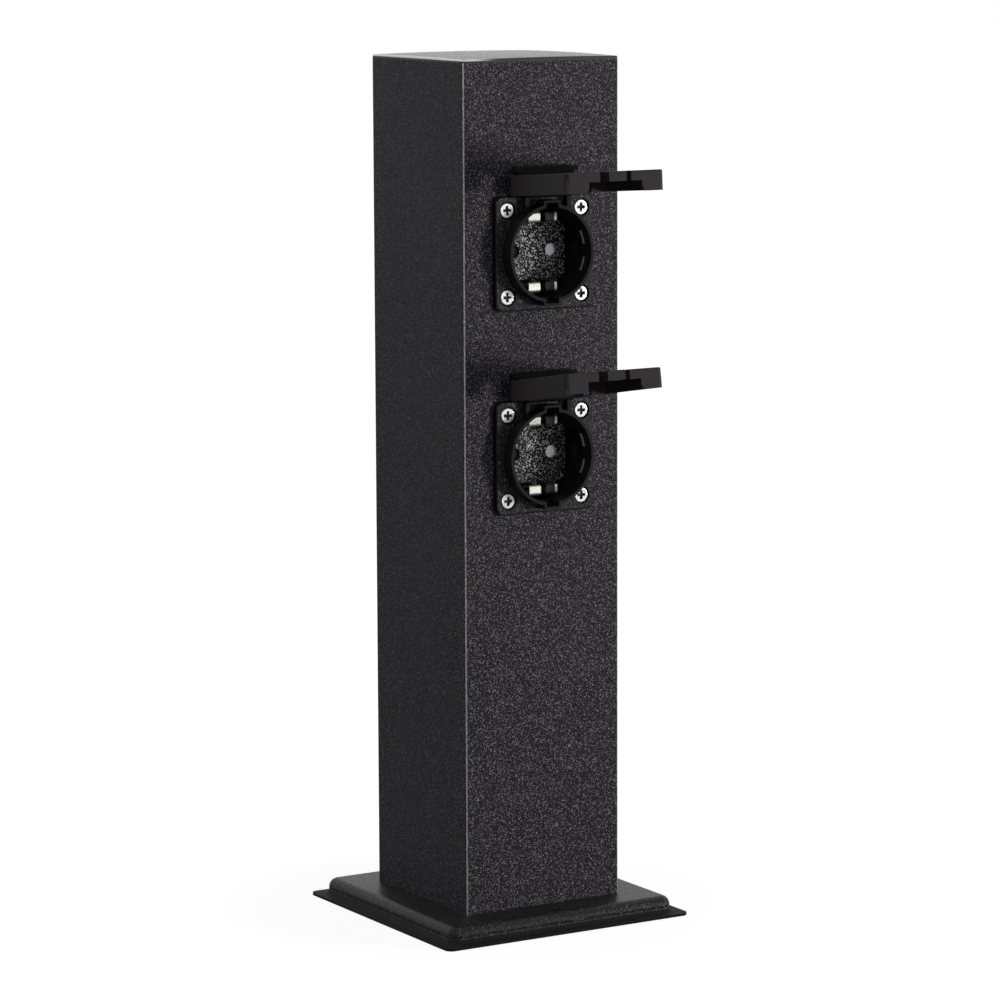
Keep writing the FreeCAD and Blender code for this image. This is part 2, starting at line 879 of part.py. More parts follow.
def cable_clamp():
    """Saddle strap that holds the supply cable against the bracket."""
    body = new_body("cable_clamp")
    sheet_gap = dims.clamp_sheet
    ear = dims.clamp_screw_spacing / 2 + dims.small_head_radius + sheet_gap
    inner = saddle_radius
    outer = inner + sheet_gap
    y_back = dims.bracket_front
    y_ear = y_back - sheet_gap
    y_top = y_back - 2 * inner
    round_in = inner * 0.9
    round_out = round_in + sheet_gap
    sketch = new_sketch(body, "XY_Plane", clamp_level)
    add_outline(
        sketch,
        [
            (-ear, y_back),
            (-ear, y_ear),
            (-outer, y_ear),
            (-outer, y_top - sheet_gap, round_out),
            (outer, y_top - sheet_gap, round_out),
            (outer, y_ear),
            (ear, y_ear),
            (ear, y_back),
            (inner, y_back),
            (inner, y_top, round_in),
            (-inner, y_top, round_in),
            (-inner, y_back),
        ],
    )
    pad(body, sketch, dims.clamp_width, "both")
    sketch = new_sketch(body, "XZ_Plane")
    for x in (-dims.clamp_screw_spacing / 2, dims.clamp_screw_spacing / 2):
        add_circle(sketch, x, clamp_level, dims.small_screw_radius)
    pocket(body, sketch, None, "against")
    return keep(body, "cable_clamp")


def clamp_screws():
    x = dims.clamp_screw_spacing / 2
    seat = dims.bracket_front - dims.clamp_sheet
    body = panel_screw("clamp_screw", x, seat, clamp_level, dims.clamp_sheet + dims.bracket_sheet)
    return keep(mirror_copy(body, vector(1)), "clamp_screws")


def terminal_block():
    """Three insulated poles joined by a thin web, each with a bore for its brass barrel."""
    body = new_body("terminal_block")
    back = -dims.bracket_front
    half = dims.pole_width / 2
    edge = dims.pole_width / 8
    sketch = new_sketch(body, "XZ_Plane", back)
    add_rectangle(
        sketch,
        -dims.pole_pitch - half / 2,
        dims.pole_pitch + half / 2,
        block_middle - dims.web_height / 2,
        block_middle + dims.web_height / 2,
    )
    pad(body, sketch, dims.web_depth)
    for x in (-dims.pole_pitch, 0 * dims.pole_pitch, dims.pole_pitch):
        sketch = new_sketch(body, "XZ_Plane", back)
        add_rectangle(
            sketch, x - half, x + half, block_low, block_low + dims.block_height, edge
        )
        pad(body, sketch, dims.block_depth)
    sketch = new_sketch(body, "XY_Plane")
    for x in (-dims.pole_pitch, 0 * dims.pole_pitch, dims.pole_pitch):
        add_circle(sketch, x, barrel_y, dims.barrel_radius)
    pocket(body, sketch, None, "along")
    sketch = new_sketch(body, "XZ_Plane", -barrel_y)
    for x in (-dims.pole_pitch, 0 * dims.pole_pitch, dims.pole_pitch):
        for z in (-dims.barrel_screw_spacing / 2, dims.barrel_screw_spacing / 2):
            add_circle(sketch, x, block_middle + z, dims.small_head_radius)
    pocket(body, sketch, None, "along")
    sketch = new_sketch(body, "XZ_Plane")
    for x in (-dims.pole_pitch / 2, dims.pole_pitch / 2):
        add_circle(sketch, x, block_middle, dims.small_screw_radius)
    pocket(body, sketch, None, "against")
    sketch = new_sketch(body, "XZ_Plane", dims.web_depth - dims.bracket_front)
    for x in (-dims.pole_pitch / 2, dims.pole_pitch / 2):
        add_circle(sketch, x, block_middle, dims.small_head_radius)
    pocket(body, sketch, None, "along")
    return keep(body, "terminal_block")


def barrel(label, x):
    """Brass tube inside one pole, with two threaded holes for its screws."""
    body = new_body(label)
    length = dims.block_height - dims.clamp_sheet
    sketch = new_sketch(body, "XY_Plane", block_middle)
    add_circle(sketch, x, barrel_y, dims.barrel_radius)
    add_circle(sketch, x, barrel_y, dims.barrel_bore_radius)
    pad(body, sketch, length, "both")
    sketch = new_sketch(body, "XZ_Plane", -barrel_y)
    for z in (-dims.barrel_screw_spacing / 2, dims.barrel_screw_spacing / 2):
        add_circle(sketch, x, block_middle + z, dims.small_screw_radius)
    pocket(body, sketch, None, "along")
    return keep(body, label)


def barrel_screws():
    """Six grub screws, two in each barrel."""
    group = []
    seat = barrel_y - dims.barrel_bore_radius
    length = dims.block_depth / 2 - dims.barrel_bore_radius - dims.clamp_sheet
    for x in (-dims.pole_pitch, 0 * dims.pole_pitch, dims.pole_pitch):
        for z in (-dims.barrel_screw_spacing / 2, dims.barrel_screw_spacing / 2):
            body = new_body("barrel_screw")
            sketch = new_sketch(body, "XZ_Plane", -seat)
            add_circle(sketch, x, block_middle + z, dims.small_screw_radius)
            pad(body, sketch, length)
            group.append(body)
    screws = document.addObject("Part::Compound", "barrel_screws")
    screws.Links = group
    return keep(screws, "barrel_screws")


def block_screws():
    x = dims.pole_pitch / 2
    seat = dims.bracket_front - dims.web_depth
    body = new_body("block_screw")
    sketch = new_sketch(body, "XZ_Plane", -seat)
    add_circle(sketch, x, block_middle, dims.small_screw_radius)
    pad(body, sketch, dims.web_depth + dims.bracket_sheet, "against")
    sketch = new_sketch(body, "XZ_Plane", -seat)
    add_circle(sketch, x, block_middle, dims.small_head_radius * 0.95)
    pad(body, sketch, dims.small_head_height)
    return keep(mirror_copy(body, vector(1)), "block_screws")


def earth_stud():
    """Threaded stud welded to the tray, where the post is bonded to earth."""
    body = new_body("earth_stud")
    sketch = new_sketch(body, "XY_Plane", tray_floor)
    add_circle(sketch, dims.stud_offset, 0, dims.stud_radius)
    pad(body, sketch, dims.stud_height)
    return keep(body, "earth_stud")


def earth_nut():
    body = new_body("earth_nut")
    sketch = new_sketch(body, "XY_Plane", tray_floor + dims.lug_thickness)
    add_hexagon(sketch, dims.stud_offset, 0 * dims.stud_offset, dims.base_head_radius)
    add_circle(sketch, dims.stud_offset, 0, dims.stud_radius)
    pad(body, sketch, dims.base_nut_height)
    return keep(body, "earth_nut")


# Wires: straight runs joined by tangent arcs.


def tube(points, radius, bend):
    """A round tube along straight runs, each corner an arc of the bend or what its runs allow."""
    pieces = []
    start = points[0]
    for before, corner, after in zip(points, points[1:], points[2:]):
        back = before - corner
        ahead = after - corner
        half = back.getAngle(ahead) / 2
        room = 0.45 * min(back.Length, ahead.Length)
        trim = min(room, bend / math.tan(half))
        first, last, arc = corner_arc(before, corner, after, trim * math.tan(half))
        pieces.append(Part.LineSegment(start, first).toShape())
        pieces.append(arc.toShape())
        start = last
    pieces.append(Part.LineSegment(start, points[-1]).toShape())
    path = Part.Wire(pieces)
    circle = Part.Circle(points[0], points[1] - points[0], radius)
    solid = path.makePipeShell([Part.Wire([circle.toShape()])], True, True)
    area = math.pi * radius**2
    if abs(solid.Volume / (area * path.Length) - 1) > 0.01:
        raise RuntimeError("a wire's volume does not match its length")
    return solid


def wire(label, points, extra=None):
    """A wire as one solid; extra is joined to it."""
    solid = tube(points, float(dims.wire_radius), float(dims.wire_bend))
    if extra is not None:
        solid = solid.fuse(extra).removeSplitter()
    thing = document.addObject("Part::Feature", label)
    thing.Shape = solid
    return keep(thing, label)


# Levels of a socket, measured forwards from the post's axis, so y is minus the level.

face = dims.post_width / 2
flange_back = face + dims.gasket_thickness
flange_front = flange_back + dims.flange_thickness
rim = flange_front + dims.collar_height
pad_front = rim - dims.well_depth
well_floor = pad_front - dims.pad_height
insert_back = well_floor - dims.insert_floor
chamber_front = pad_front - dims.pad_skin
carrier_back = insert_back - dims.carrier_depth
boss_front = chamber_front - dims.shutter_thickness - 2 * dims.slide_gap
housing_radius = dims.cutout_radius - dims.barrel_play
housing_back = face - dims.housing_depth + dims.barrel_play
insert_radius = dims.well_radius - dims.insert_play
half_pins = dims.pin_spacing / 2
half_screws = dims.screw_spacing / 2
hinge_level = flange_front + dims.hinge_stand
strip_level = insert_back - dims.strip_level
terminal_level = carrier_back + dims.terminal_back
sleeve_radius = dims.sleeve_bore_radius + dims.sleeve_wall
screw_level = terminal_level + dims.terminal_depth / 2
shutter_bottom = dims.slide_gap - dims.chamber_half_height


def socket_housing(place, height):
    """Square flange, round collar with key bumps, guide ribs, ledges, hinge boss and rear barrel."""
    body = new_body(f"{place}_socket_housing")
    sketch = new_sketch(body, "XZ_Plane", flange_back)
    add_square(sketch, dims.flange_width, dims.flange_corner)
    pad(body, sketch, dims.flange_thickness)
    rounded(body, dims.flange_edge, lambda p: near(p.y, -flange_front))
    sketch = new_sketch(body, "XZ_Plane", flange_back)
    add_circle(sketch, 0, 0, dims.collar_radius)
    pad(body, sketch, rim - flange_back)
    sketch = new_sketch(body, "XZ_Plane", flange_back)
    add_rectangle(
        sketch,
        -dims.key_half_width,
        dims.key_half_width,
        -dims.key_radius,
        dims.key_radius,
        dims.flange_edge,
    )
    pad(body, sketch, rim - flange_back)
    sketch = new_sketch(body, "XZ_Plane", flange_back)
    add_circle(sketch, 0, 0, housing_radius)
    pad(body, sketch, flange_back - housing_back, "against")
    # hinge boss: two ears from the collar up to the barrel round the hinge pin, and a web between
    slab_back = -(flange_back + dims.flange_thickness / 2)
    slab_front = -(flange_front + dims.boss_thickness)
    web_foot = dims.hinge_rise - dims.knuckle_radius - dims.flange_edge
    sketch = new_sketch(body, "YZ_Plane", dims.boss_half_width - dims.boss_ear)
    add_rectangle(sketch, slab_front, slab_back, dims.boss_foot, dims.flange_width / 2)
    ear = pad(body, sketch, dims.boss_ear)
    mirrored(body, [ear], "YZ_Plane")
    sketch = new_sketch(body, "YZ_Plane")
    add_rectangle(sketch, slab_front, slab_back, web_foot, dims.flange_width / 2)
    pad(body, sketch, 2 * dims.boss_half_width - dims.boss_ear, "both")
    sketch = new_sketch(body, "YZ_Plane")
    add_rectangle(
        sketch,
        -(hinge_level + dims.knuckle_radius),
        -(hinge_level - dims.knuckle_radius),
        dims.flange_width / 2 - dims.flange_edge,
        dims.hinge_rise + dims.knuckle_radius,
        dims.knuckle_radius * 0.9,
    )
    pad(body, sketch, 2 * dims.boss_half_width, "both")
    # the well, two ledges at each side of it and a lower guide rib between them
    sketch = new_sketch(body, "XZ_Plane", rim)
    add_circle(sketch, 0, 0, dims.well_radius)
    pocket(body, sketch)
    skin = (dims.well_radius + housing_radius) / 2
    low = dims.rib_half_width
    high = dims.ledge_half_height
    sketch = new_sketch(body, "XZ_Plane", well_floor)
    add_sector(sketch, dims.ledge_radius, skin, low, high)
    add_sector(sketch, dims.ledge_radius, skin, -high, -low)
    ledges = pad(body, sketch, dims.ledge_top + dims.pad_height)
    mirrored(body, [ledges], "YZ_Plane")
    sketch = new_sketch(body, "XZ_Plane", well_floor)
    add_rectangle(sketch, dims.rib_reach, skin * 0.99, -low, low)
    rib = pad(body, sketch, dims.rib_top + dims.pad_height)
    mirrored(body, [rib], "YZ_Plane")
    sketch = new_sketch(body, "XZ_Plane", rim)
    add_rectangle(
        sketch,
        -dims.key_slot_half_width,
        dims.key_slot_half_width,
        -dims.key_slot_radius,
        dims.key_slot_radius,
    )
    pocket(body, sketch, dims.key_slot_depth)
    # screw holes, dished and countersunk
    sketch = new_sketch(body, "XZ_Plane", rim)
    for x in (-half_screws, half_screws):
        for z in (-half_screws, half_screws):
            add_circle(sketch, x, z, dims.flange_hole_radius)
    pocket(body, sketch)
    sketch = new_sketch(body, "XZ_Plane", flange_front)
    for x in (-half_screws, half_screws):
        for z in (-half_screws, half_screws):
            add_circle(sketch, x, z, dims.counterbore_radius)
    pocket(body, sketch, dims.counterbore_depth)
    sink = dims.screw_head_radius + dims.screw_cone_rim - dims.flange_hole_radius
    dish = flange_front - dims.counterbore_depth
    edge = float(dims.flange_hole_radius) + 0.01

    def at_hole(point):
        reach = math.hypot(abs(point.x) - float(half_screws), abs(point.z) - float(half_screws))
        return near(point.y, -dish) and reach < edge

    chamfered(body, sink, at_hole)
    # bore for the hinge pin
    sketch = new_sketch(body, "YZ_Plane")
    add_circle(sketch, -hinge_level, dims.hinge_rise, dims.pin_radius)
    pocket(body, sketch, 4 * dims.boss_half_width, "both")
    # windows in the barrel for the carrier's snaps
    window_level = insert_back - dims.snap_offset + dims.snap_play
    sketch = new_sketch(body, "XZ_Plane", window_level)
    half_window = dims.snap_half_width + dims.snap_play
    far = 2 * dims.collar_radius
    add_rectangle(sketch, -far, far, -half_window, half_window)
    pocket(body, sketch, dims.snap_depth + 2 * dims.snap_play)
    return keep(body, f"{place}_socket_housing", height)


def flange_gasket(place, height):
    body = new_body(f"{place}_flange_gasket")
    sketch = new_sketch(body, "XZ_Plane", face)
    add_square(sketch, dims.flange_width - 2 * dims.gasket_inset, dims.flange_corner)
    add_circle(sketch, 0, 0, dims.cutout_radius)
    for x in (-half_screws, half_screws):
        for z in (-half_screws, half_screws):
            add_circle(sketch, x, z, dims.screw_hole_radius)
    pad(body, sketch, dims.gasket_thickness)
    return keep(body, f"{place}_flange_gasket", height)


def flange_screws(place, height):
    """Four cross-recess screws through the flange and the post's front wall."""
    body = new_body(f"{place}_flange_screw")
    seat = flange_front - dims.counterbore_depth - dims.screw_cone - dims.screw_cone_rim
    front = seat + dims.screw_head_height
    sketch = new_sketch(body, "XZ_Plane", seat)
    add_circle(sketch, half_screws, half_screws, dims.screw_head_radius)
    pad(body, sketch, dims.screw_head_height)
    rounded(body, dims.screw_head_round, lambda p: near(p.y, -front))
    chamfered(body, dims.screw_cone, lambda p: near(p.y, -seat))
    sketch = new_sketch(body, "XZ_Plane", seat)
    add_circle(sketch, half_screws, half_screws, dims.screw_radius)
    pad(body, sketch, dims.screw_length, "against")
    long = dims.cross_length / 2
    short = dims.cross_width / 2
    arms = (
        (long, -short), (long, short), (short, short), (short, long),
        (-short, long), (-short, short), (-long, short), (-long, -short),
        (-short, -short), (-short, -long), (short, -long), (short, -short),
    )
    sketch = new_sketch(body, "XZ_Plane", front)
    add_outline(sketch, [(half_screws + x, half_screws + z) for x, z in arms])
    pocket(body, sketch, dims.cross_depth)
    group = four_corners(body, vector(1), vector(0, 0, 1))
    return keep(group, f"{place}_flange_screws", height)


def flange_nuts(place, height):
    body = new_body(f"{place}_flange_nut")
    sketch = new_sketch(body, "XZ_Plane", face - dims.post_wall)
    add_hexagon(sketch, half_screws, half_screws, dims.nut_radius)
    add_circle(sketch, half_screws, half_screws, dims.screw_radius)
    pad(body, sketch, dims.nut_height, "against")
    group = four_corners(body, vector(1), vector(0, 0, 1))
    return keep(group, f"{place}_flange_nuts", height)


def contact_insert(place, height):
    """Well floor with the raised grained pad, the two pin holes and the earth windows."""
    body = new_body(f"{place}_contact_insert")
    sketch = new_sketch(body, "XZ_Plane", insert_back)
    add_circle(sketch, 0, 0, insert_radius)
    pad(body, sketch, dims.insert_floor)
    sketch = new_sketch(body, "XZ_Plane", insert_back)
    add_rectangle(
        sketch,
        -dims.pad_half_width,
        dims.pad_half_width,
        -dims.pad_half_height,
        dims.pad_half_height,
        dims.pad_corner,
    )
    pad(body, sketch, pad_front - insert_back)
    rounded(body, dims.pad_edge, lambda p: near(p.y, -pad_front))
    sketch = new_sketch(body, "XZ_Plane", well_floor - dims.insert_floor / 2)
    add_rectangle(
        sketch,
        -dims.web_half_width,
        dims.web_half_width,
        dims.pad_half_height - dims.pad_edge * 2,
        dims.web_top,
    )
    web = pad(body, sketch, dims.pad_height + dims.insert_floor / 2)
    mirrored(body, [web], "XY_Plane")
    sketch = new_sketch(body, "XZ_Plane", insert_back)
    add_rectangle(
        sketch,
        -dims.chamber_half_width,
        dims.chamber_half_width,
        -dims.chamber_half_height,
        dims.chamber_half_height,
    )
    pocket(body, sketch, chamber_front - insert_back, "along")
    sketch = new_sketch(body, "XZ_Plane", pad_front)
    for x in (-half_pins, half_pins):
        add_circle(sketch, x, 0, dims.pin_hole_radius)
    pocket(body, sketch)
    sketch = new_sketch(body, "XZ_Plane", pad_front)
    for low, high in (
        (dims.window_low, dims.window_high),
        (-dims.window_high, -dims.window_low),
    ):
        add_rectangle(sketch, dims.window_inner, dims.window_outer, low, high)
        add_rectangle(sketch, -dims.window_outer, -dims.window_inner, low, high)
    pocket(body, sketch)
    return keep(body, f"{place}_contact_insert", height)


def shutter(place, height):
    """Sprung plate behind the pin holes, with two windows below them that rise to let the pins in."""
    body = new_body(f"{place}_shutter")
    half = dims.chamber_half_width - dims.slide_gap
    sketch = new_sketch(body, "XZ_Plane", boss_front + dims.slide_gap)
    add_outline(
        sketch,
        [
            (-half, shutter_bottom),
            (half, shutter_bottom),
            (half, dims.shutter_top),
            (dims.shutter_notch_half_width, dims.shutter_top),
            (dims.shutter_notch_half_width, dims.shutter_top - dims.shutter_notch_depth),
            (-dims.shutter_notch_half_width, dims.shutter_top - dims.shutter_notch_depth),
            (-dims.shutter_notch_half_width, dims.shutter_top),
            (-half, dims.shutter_top),
        ],
    )
    for x in (-half_pins, half_pins):
        add_circle(sketch, x, -dims.shutter_travel, dims.shutter_window_radius)
    pad(body, sketch, dims.shutter_thickness)
    return keep(body, f"{place}_shutter", height)


def shutter_spring(place, height):
    """Small coil spring between the shutter's notch and the roof of its chamber."""
    low = dims.shutter_top - dims.shutter_notch_depth + dims.spring_wire_radius
    high = dims.chamber_half_height - dims.spring_wire_radius
    coil = document.addObject("Part::Helix", "coil")
    bind(coil, "Radius", dims.spring_radius)
    bind(coil, "Height", high - low)
    bind(coil, "Pitch", (high - low) / dims.spring_turns)
    section = document.addObject("Part::Circle", "section")
    bind(section, "Radius", dims.spring_wire_radius)
    section.Placement = FreeCAD.Placement(
        vector(dims.spring_radius), FreeCAD.Rotation(vector(1), 90)
    )
    bind(section, "Placement.Base.x", dims.spring_radius)
    thing = document.addObject("Part::Sweep", f"{place}_shutter_spring")
    thing.Sections = [section]
    thing.Spine = (coil, ["Edge1"])
    thing.Solid = True
    thing.Frenet = True
    middle = (boss_front + chamber_front) / 2
    bind(thing, "Placement.Base.y", -middle)
    return keep(thing, f"{place}_shutter_spring", height + low)


def terminal_part(body, x, side):
    """A terminal cube with two wire holes from behind and a screw hole from its outer side."""
    half = dims.terminal_half_width
    lows = sorted((side * dims.terminal_near, side * dims.terminal_far), key=float)
    sketch = new_sketch(body, "XZ_Plane", terminal_level)
    add_rectangle(sketch, x - half, x + half, lows[0], lows[1])
    pad(body, sketch, dims.terminal_depth)
    return lows


def terminal_holes(body, x, side):
    sketch = new_sketch(body, "XZ_Plane", terminal_level)
    for offset in (-dims.wire_hole_offset, dims.wire_hole_offset):
        add_circle(sketch, x + offset, side * dims.wire_hole_height, dims.wire_hole_radius)
    pocket(body, sketch, dims.wire_hole_depth, "along")
    sketch = new_sketch(body, "XY_Plane", side * dims.terminal_far)
    add_circle(sketch, x, -screw_level, dims.small_screw_radius)
    depth = dims.terminal_far - dims.wire_hole_height - dims.wire_hole_radius
    pocket(body, sketch, depth, "against" if side > 0 else "along")


def line_contact(place, name, x, height):
    """Split sleeve for a plug pin, joined by a tab to its terminal below."""
    body = new_body(f"{place}_{name}")
    lows = terminal_part(body, x, -1)
    sketch = new_sketch(body, "XZ_Plane", terminal_level)
    add_rectangle(
        sketch,
        x - sleeve_radius * 0.7,
        x + sleeve_radius * 0.7,
        lows[1] - dims.tab_thickness / 2,
        -dims.sleeve_bore_radius * 0.8,
    )
    pad(body, sketch, dims.terminal_depth / 2)
    sketch = new_sketch(body, "XZ_Plane", terminal_level)
    add_circle(sketch, x, 0, sleeve_radius)
    pad(body, sketch, dims.sleeve_length)
    sketch = new_sketch(body, "XZ_Plane", terminal_level)
    add_circle(sketch, x, 0, dims.sleeve_bore_radius)
    pocket(body, sketch, None, "along")
    sketch = new_sketch(body, "XZ_Plane", terminal_level)
    add_rectangle(
        sketch, x - dims.sleeve_slit / 2, x + dims.sleeve_slit / 2, 0 * x, sleeve_radius * 1.2
    )
    pocket(body, sketch, None, "along")
    terminal_holes(body, x, -1)
    return keep(body, f"{place}_{name}", height)


def earth_clip(place, height):
    """Bent strip behind the insert whose slotted ends rise through the windows as sprung prongs."""
    body = new_body(f"{place}_earth_clip")
    half_sheet = dims.strip_thickness / 2
    top = well_floor + dims.prong_top
    path = new_sketch(body, "YZ_Plane")
    add_outline(
        path,
        [
            (-strip_level, 0),
            (-strip_level, dims.strip_leg, dims.strip_bend),
            (-top, dims.strip_leg, dims.strip_bend),
            (-(top - dims.prong_tip_drop), dims.strip_leg - dims.prong_tip_inset, dims.strip_bend),
            (-(top - dims.prong_tail_drop), dims.strip_leg - dims.prong_tail_inset),
        ],
        closed=False,
    )
    profile = new_sketch(body, "XY_Plane")
    add_rectangle(
        profile,
        -dims.strip_half_width,
        dims.strip_half_width,
        -(strip_level + half_sheet),
        -(strip_level - half_sheet),
    )
    strip = body.newObject("PartDesign::AdditivePipe", "strip")
    strip.Profile = profile
    strip.Spine = path
    body.Tip = strip
    mirrored(body, [strip], "XY_Plane")
    sketch = new_sketch(body, "XZ_Plane")
    waist = dims.strip_waist_height
    outer = dims.strip_half_width * 1.1
    add_rectangle(sketch, dims.strip_waist_half_width, outer, -waist, waist)
    add_rectangle(sketch, -outer, -dims.strip_waist_half_width, -waist, waist)
    pocket(body, sketch, None, "along")
    sketch = new_sketch(body, "XZ_Plane")
    slot = dims.prong_slot_half_width
    slot_end = dims.strip_leg * 1.2
    add_rectangle(sketch, -slot, slot, waist + dims.strip_thickness, slot_end)
    add_rectangle(sketch, -slot, slot, -slot_end, -waist - dims.strip_thickness)
    pocket(body, sketch, None, "along")
    half = dims.terminal_half_width
    sketch = new_sketch(body, "XZ_Plane", terminal_level)
    add_rectangle(sketch, -half, half, dims.terminal_near, dims.terminal_far)
    pad(body, sketch, strip_level - terminal_level)
    terminal_holes(body, 0 * half, 1)
    return keep(body, f"{place}_earth_clip", height)


def terminal_screws(place, height):
    """Three clamp screws: two from below for the line contacts, one from above for the earth clip."""
    group = []
    tip = dims.wire_hole_height + dims.wire_hole_radius
    head = dims.terminal_far + dims.terminal_screw_gap
    for x, side in ((-half_pins, -1), (half_pins, -1), (0 * half_pins, 1)):
        way = "along" if side > 0 else "against"
        body = new_body(f"{place}_terminal_screw")
        sketch = new_sketch(body, "XY_Plane", side * tip)
        add_circle(sketch, x, -screw_level, dims.small_screw_radius)
        pad(body, sketch, head - tip, way)
        sketch = new_sketch(body, "XY_Plane", side * head)
        add_circle(sketch, x, -screw_level, dims.terminal_head_radius)
        pad(body, sketch, dims.terminal_head_height, way)
        group.append(body)
    screws = document.addObject("Part::Compound", f"{place}_terminal_screws")
    screws.Links = group
    return keep(screws, f"{place}_terminal_screws", height)


def contact_carrier(place, height):
    """Rear half of the insulation: chambers for the contacts, and snaps that hold it in the barrel."""
    body = new_body(f"{place}_contact_carrier")
    play = dims.chamber_play
    sketch = new_sketch(body, "XZ_Plane", carrier_back)
    add_circle(sketch, 0, 0, insert_radius)
    pad(body, sketch, dims.carrier_depth)
    # a rim that meets the end of the housing's barrel
    sketch = new_sketch(body, "XZ_Plane", housing_back)
    add_circle(sketch, 0, 0, housing_radius)
    pad(body, sketch, dims.carrier_rim, "against")
    # a boss that backs the shutter inside the insert
    width = dims.chamber_half_width - dims.carrier_boss_play
    tall = dims.chamber_half_height - dims.carrier_boss_play
    sketch = new_sketch(body, "XZ_Plane", insert_back - dims.carrier_rim / 2)
    add_rectangle(sketch, -width, width, -tall, tall)
    pad(body, sketch, boss_front - insert_back + dims.carrier_rim / 2)
    # snaps at both sides
    sketch = new_sketch(body, "XZ_Plane", insert_back - dims.snap_offset)
    reach = insert_radius + dims.snap_reach
    inner = insert_radius * 0.95
    add_rectangle(sketch, inner, reach, -dims.snap_half_width, dims.snap_half_width)
    add_rectangle(sketch, -reach, -inner, -dims.snap_half_width, dims.snap_half_width)
    pad(body, sketch, dims.snap_depth, "against")
    half = dims.terminal_half_width + play
    far = dims.terminal_far + play
    shelf = terminal_level + dims.terminal_depth + play
    # rear chambers of the line terminals, and the sleeve bores in front of them
    sketch = new_sketch(body, "XZ_Plane", carrier_back)
    for x in (-half_pins, half_pins):
        add_rectangle(sketch, x - half, x + half, -far, sleeve_radius + play)
    pocket(body, sketch, shelf - carrier_back, "along")
    sketch = new_sketch(body, "XZ_Plane", carrier_back)
    for x in (-half_pins, half_pins):
        add_circle(sketch, x, 0, sleeve_radius + play)
    sleeve_front = terminal_level + dims.sleeve_length + play
    pocket(body, sketch, sleeve_front - carrier_back, "along")
    sketch = new_sketch(body, "XZ_Plane", carrier_back)
    for x in (-half_pins, half_pins):
        add_circle(sketch, x, 0, dims.sleeve_bore_radius + play)
    pocket(body, sketch, None, "along")
    # chamber of the earth terminal
    sketch = new_sketch(body, "XZ_Plane", carrier_back)
    add_rectangle(sketch, -half, half, dims.terminal_near - play, far)
    pocket(body, sketch, strip_level - carrier_back, "along")
    # channel of the earth strip, open to the front
    channel = strip_level - dims.strip_thickness / 2 - play
    waist = dims.strip_waist_half_width + play
    wide = dims.strip_half_width + play
    end = dims.strip_leg + dims.strip_thickness / 2 + play
    sketch = new_sketch(body, "XZ_Plane", channel)
    add_rectangle(sketch, -waist, waist, -end, end)
    pocket(body, sketch, None, "along")
    sketch = new_sketch(body, "XZ_Plane", channel)
    low = dims.strip_waist_height - play
    add_rectangle(sketch, -wide, wide, low, end)
    add_rectangle(sketch, -wide, wide, -end, -low)
    pocket(body, sketch, None, "along")
    # ways in for the terminal screws
    head = dims.terminal_head_radius + play
    for x, side, way in (
        (-half_pins, -1, "along"),
        (half_pins, -1, "along"),
        (0 * half_pins, 1, "against"),
    ):
        sketch = new_sketch(body, "XY_Plane", side * 1.2 * insert_radius)
        add_circle(sketch, x, -screw_level, head)
        pocket(body, sketch, 1.2 * insert_radius - dims.terminal_far + play, way)
    return keep(body, f"{place}_contact_carrier", height)


# Levels of a lid, measured from the hinge axis with the lid lying flat: y is minus the distance.

lid_rim = dims.lid_gap - dims.hinge_stand
lid_inner = rim - hinge_level + dims.seal_gap + dims.seal_thickness
lid_top = lid_inner + dims.lid_plate
lid_end = dims.lid_start + dims.lid_length
lid_half = dims.lid_width / 2
notch_top = lid_rim + dims.notch_height


def hang(thing, label, height, tilt):
    """Hangs a piece of the lid on the hinge axis, tilted up past level."""
    thing.Label = label
    thing.Placement = FreeCAD.Placement(
        vector(0, -hinge_level, height + dims.hinge_rise),
        FreeCAD.Rotation(vector(1), -float(tilt)),
    )
    bind(thing, "Placement.Base.y", -hinge_level)
    bind(thing, "Placement.Base.z", height + dims.hinge_rise)
    bind(thing, "Placement.Rotation.Angle", -tilt)
    NODES.append(thing)
    return thing


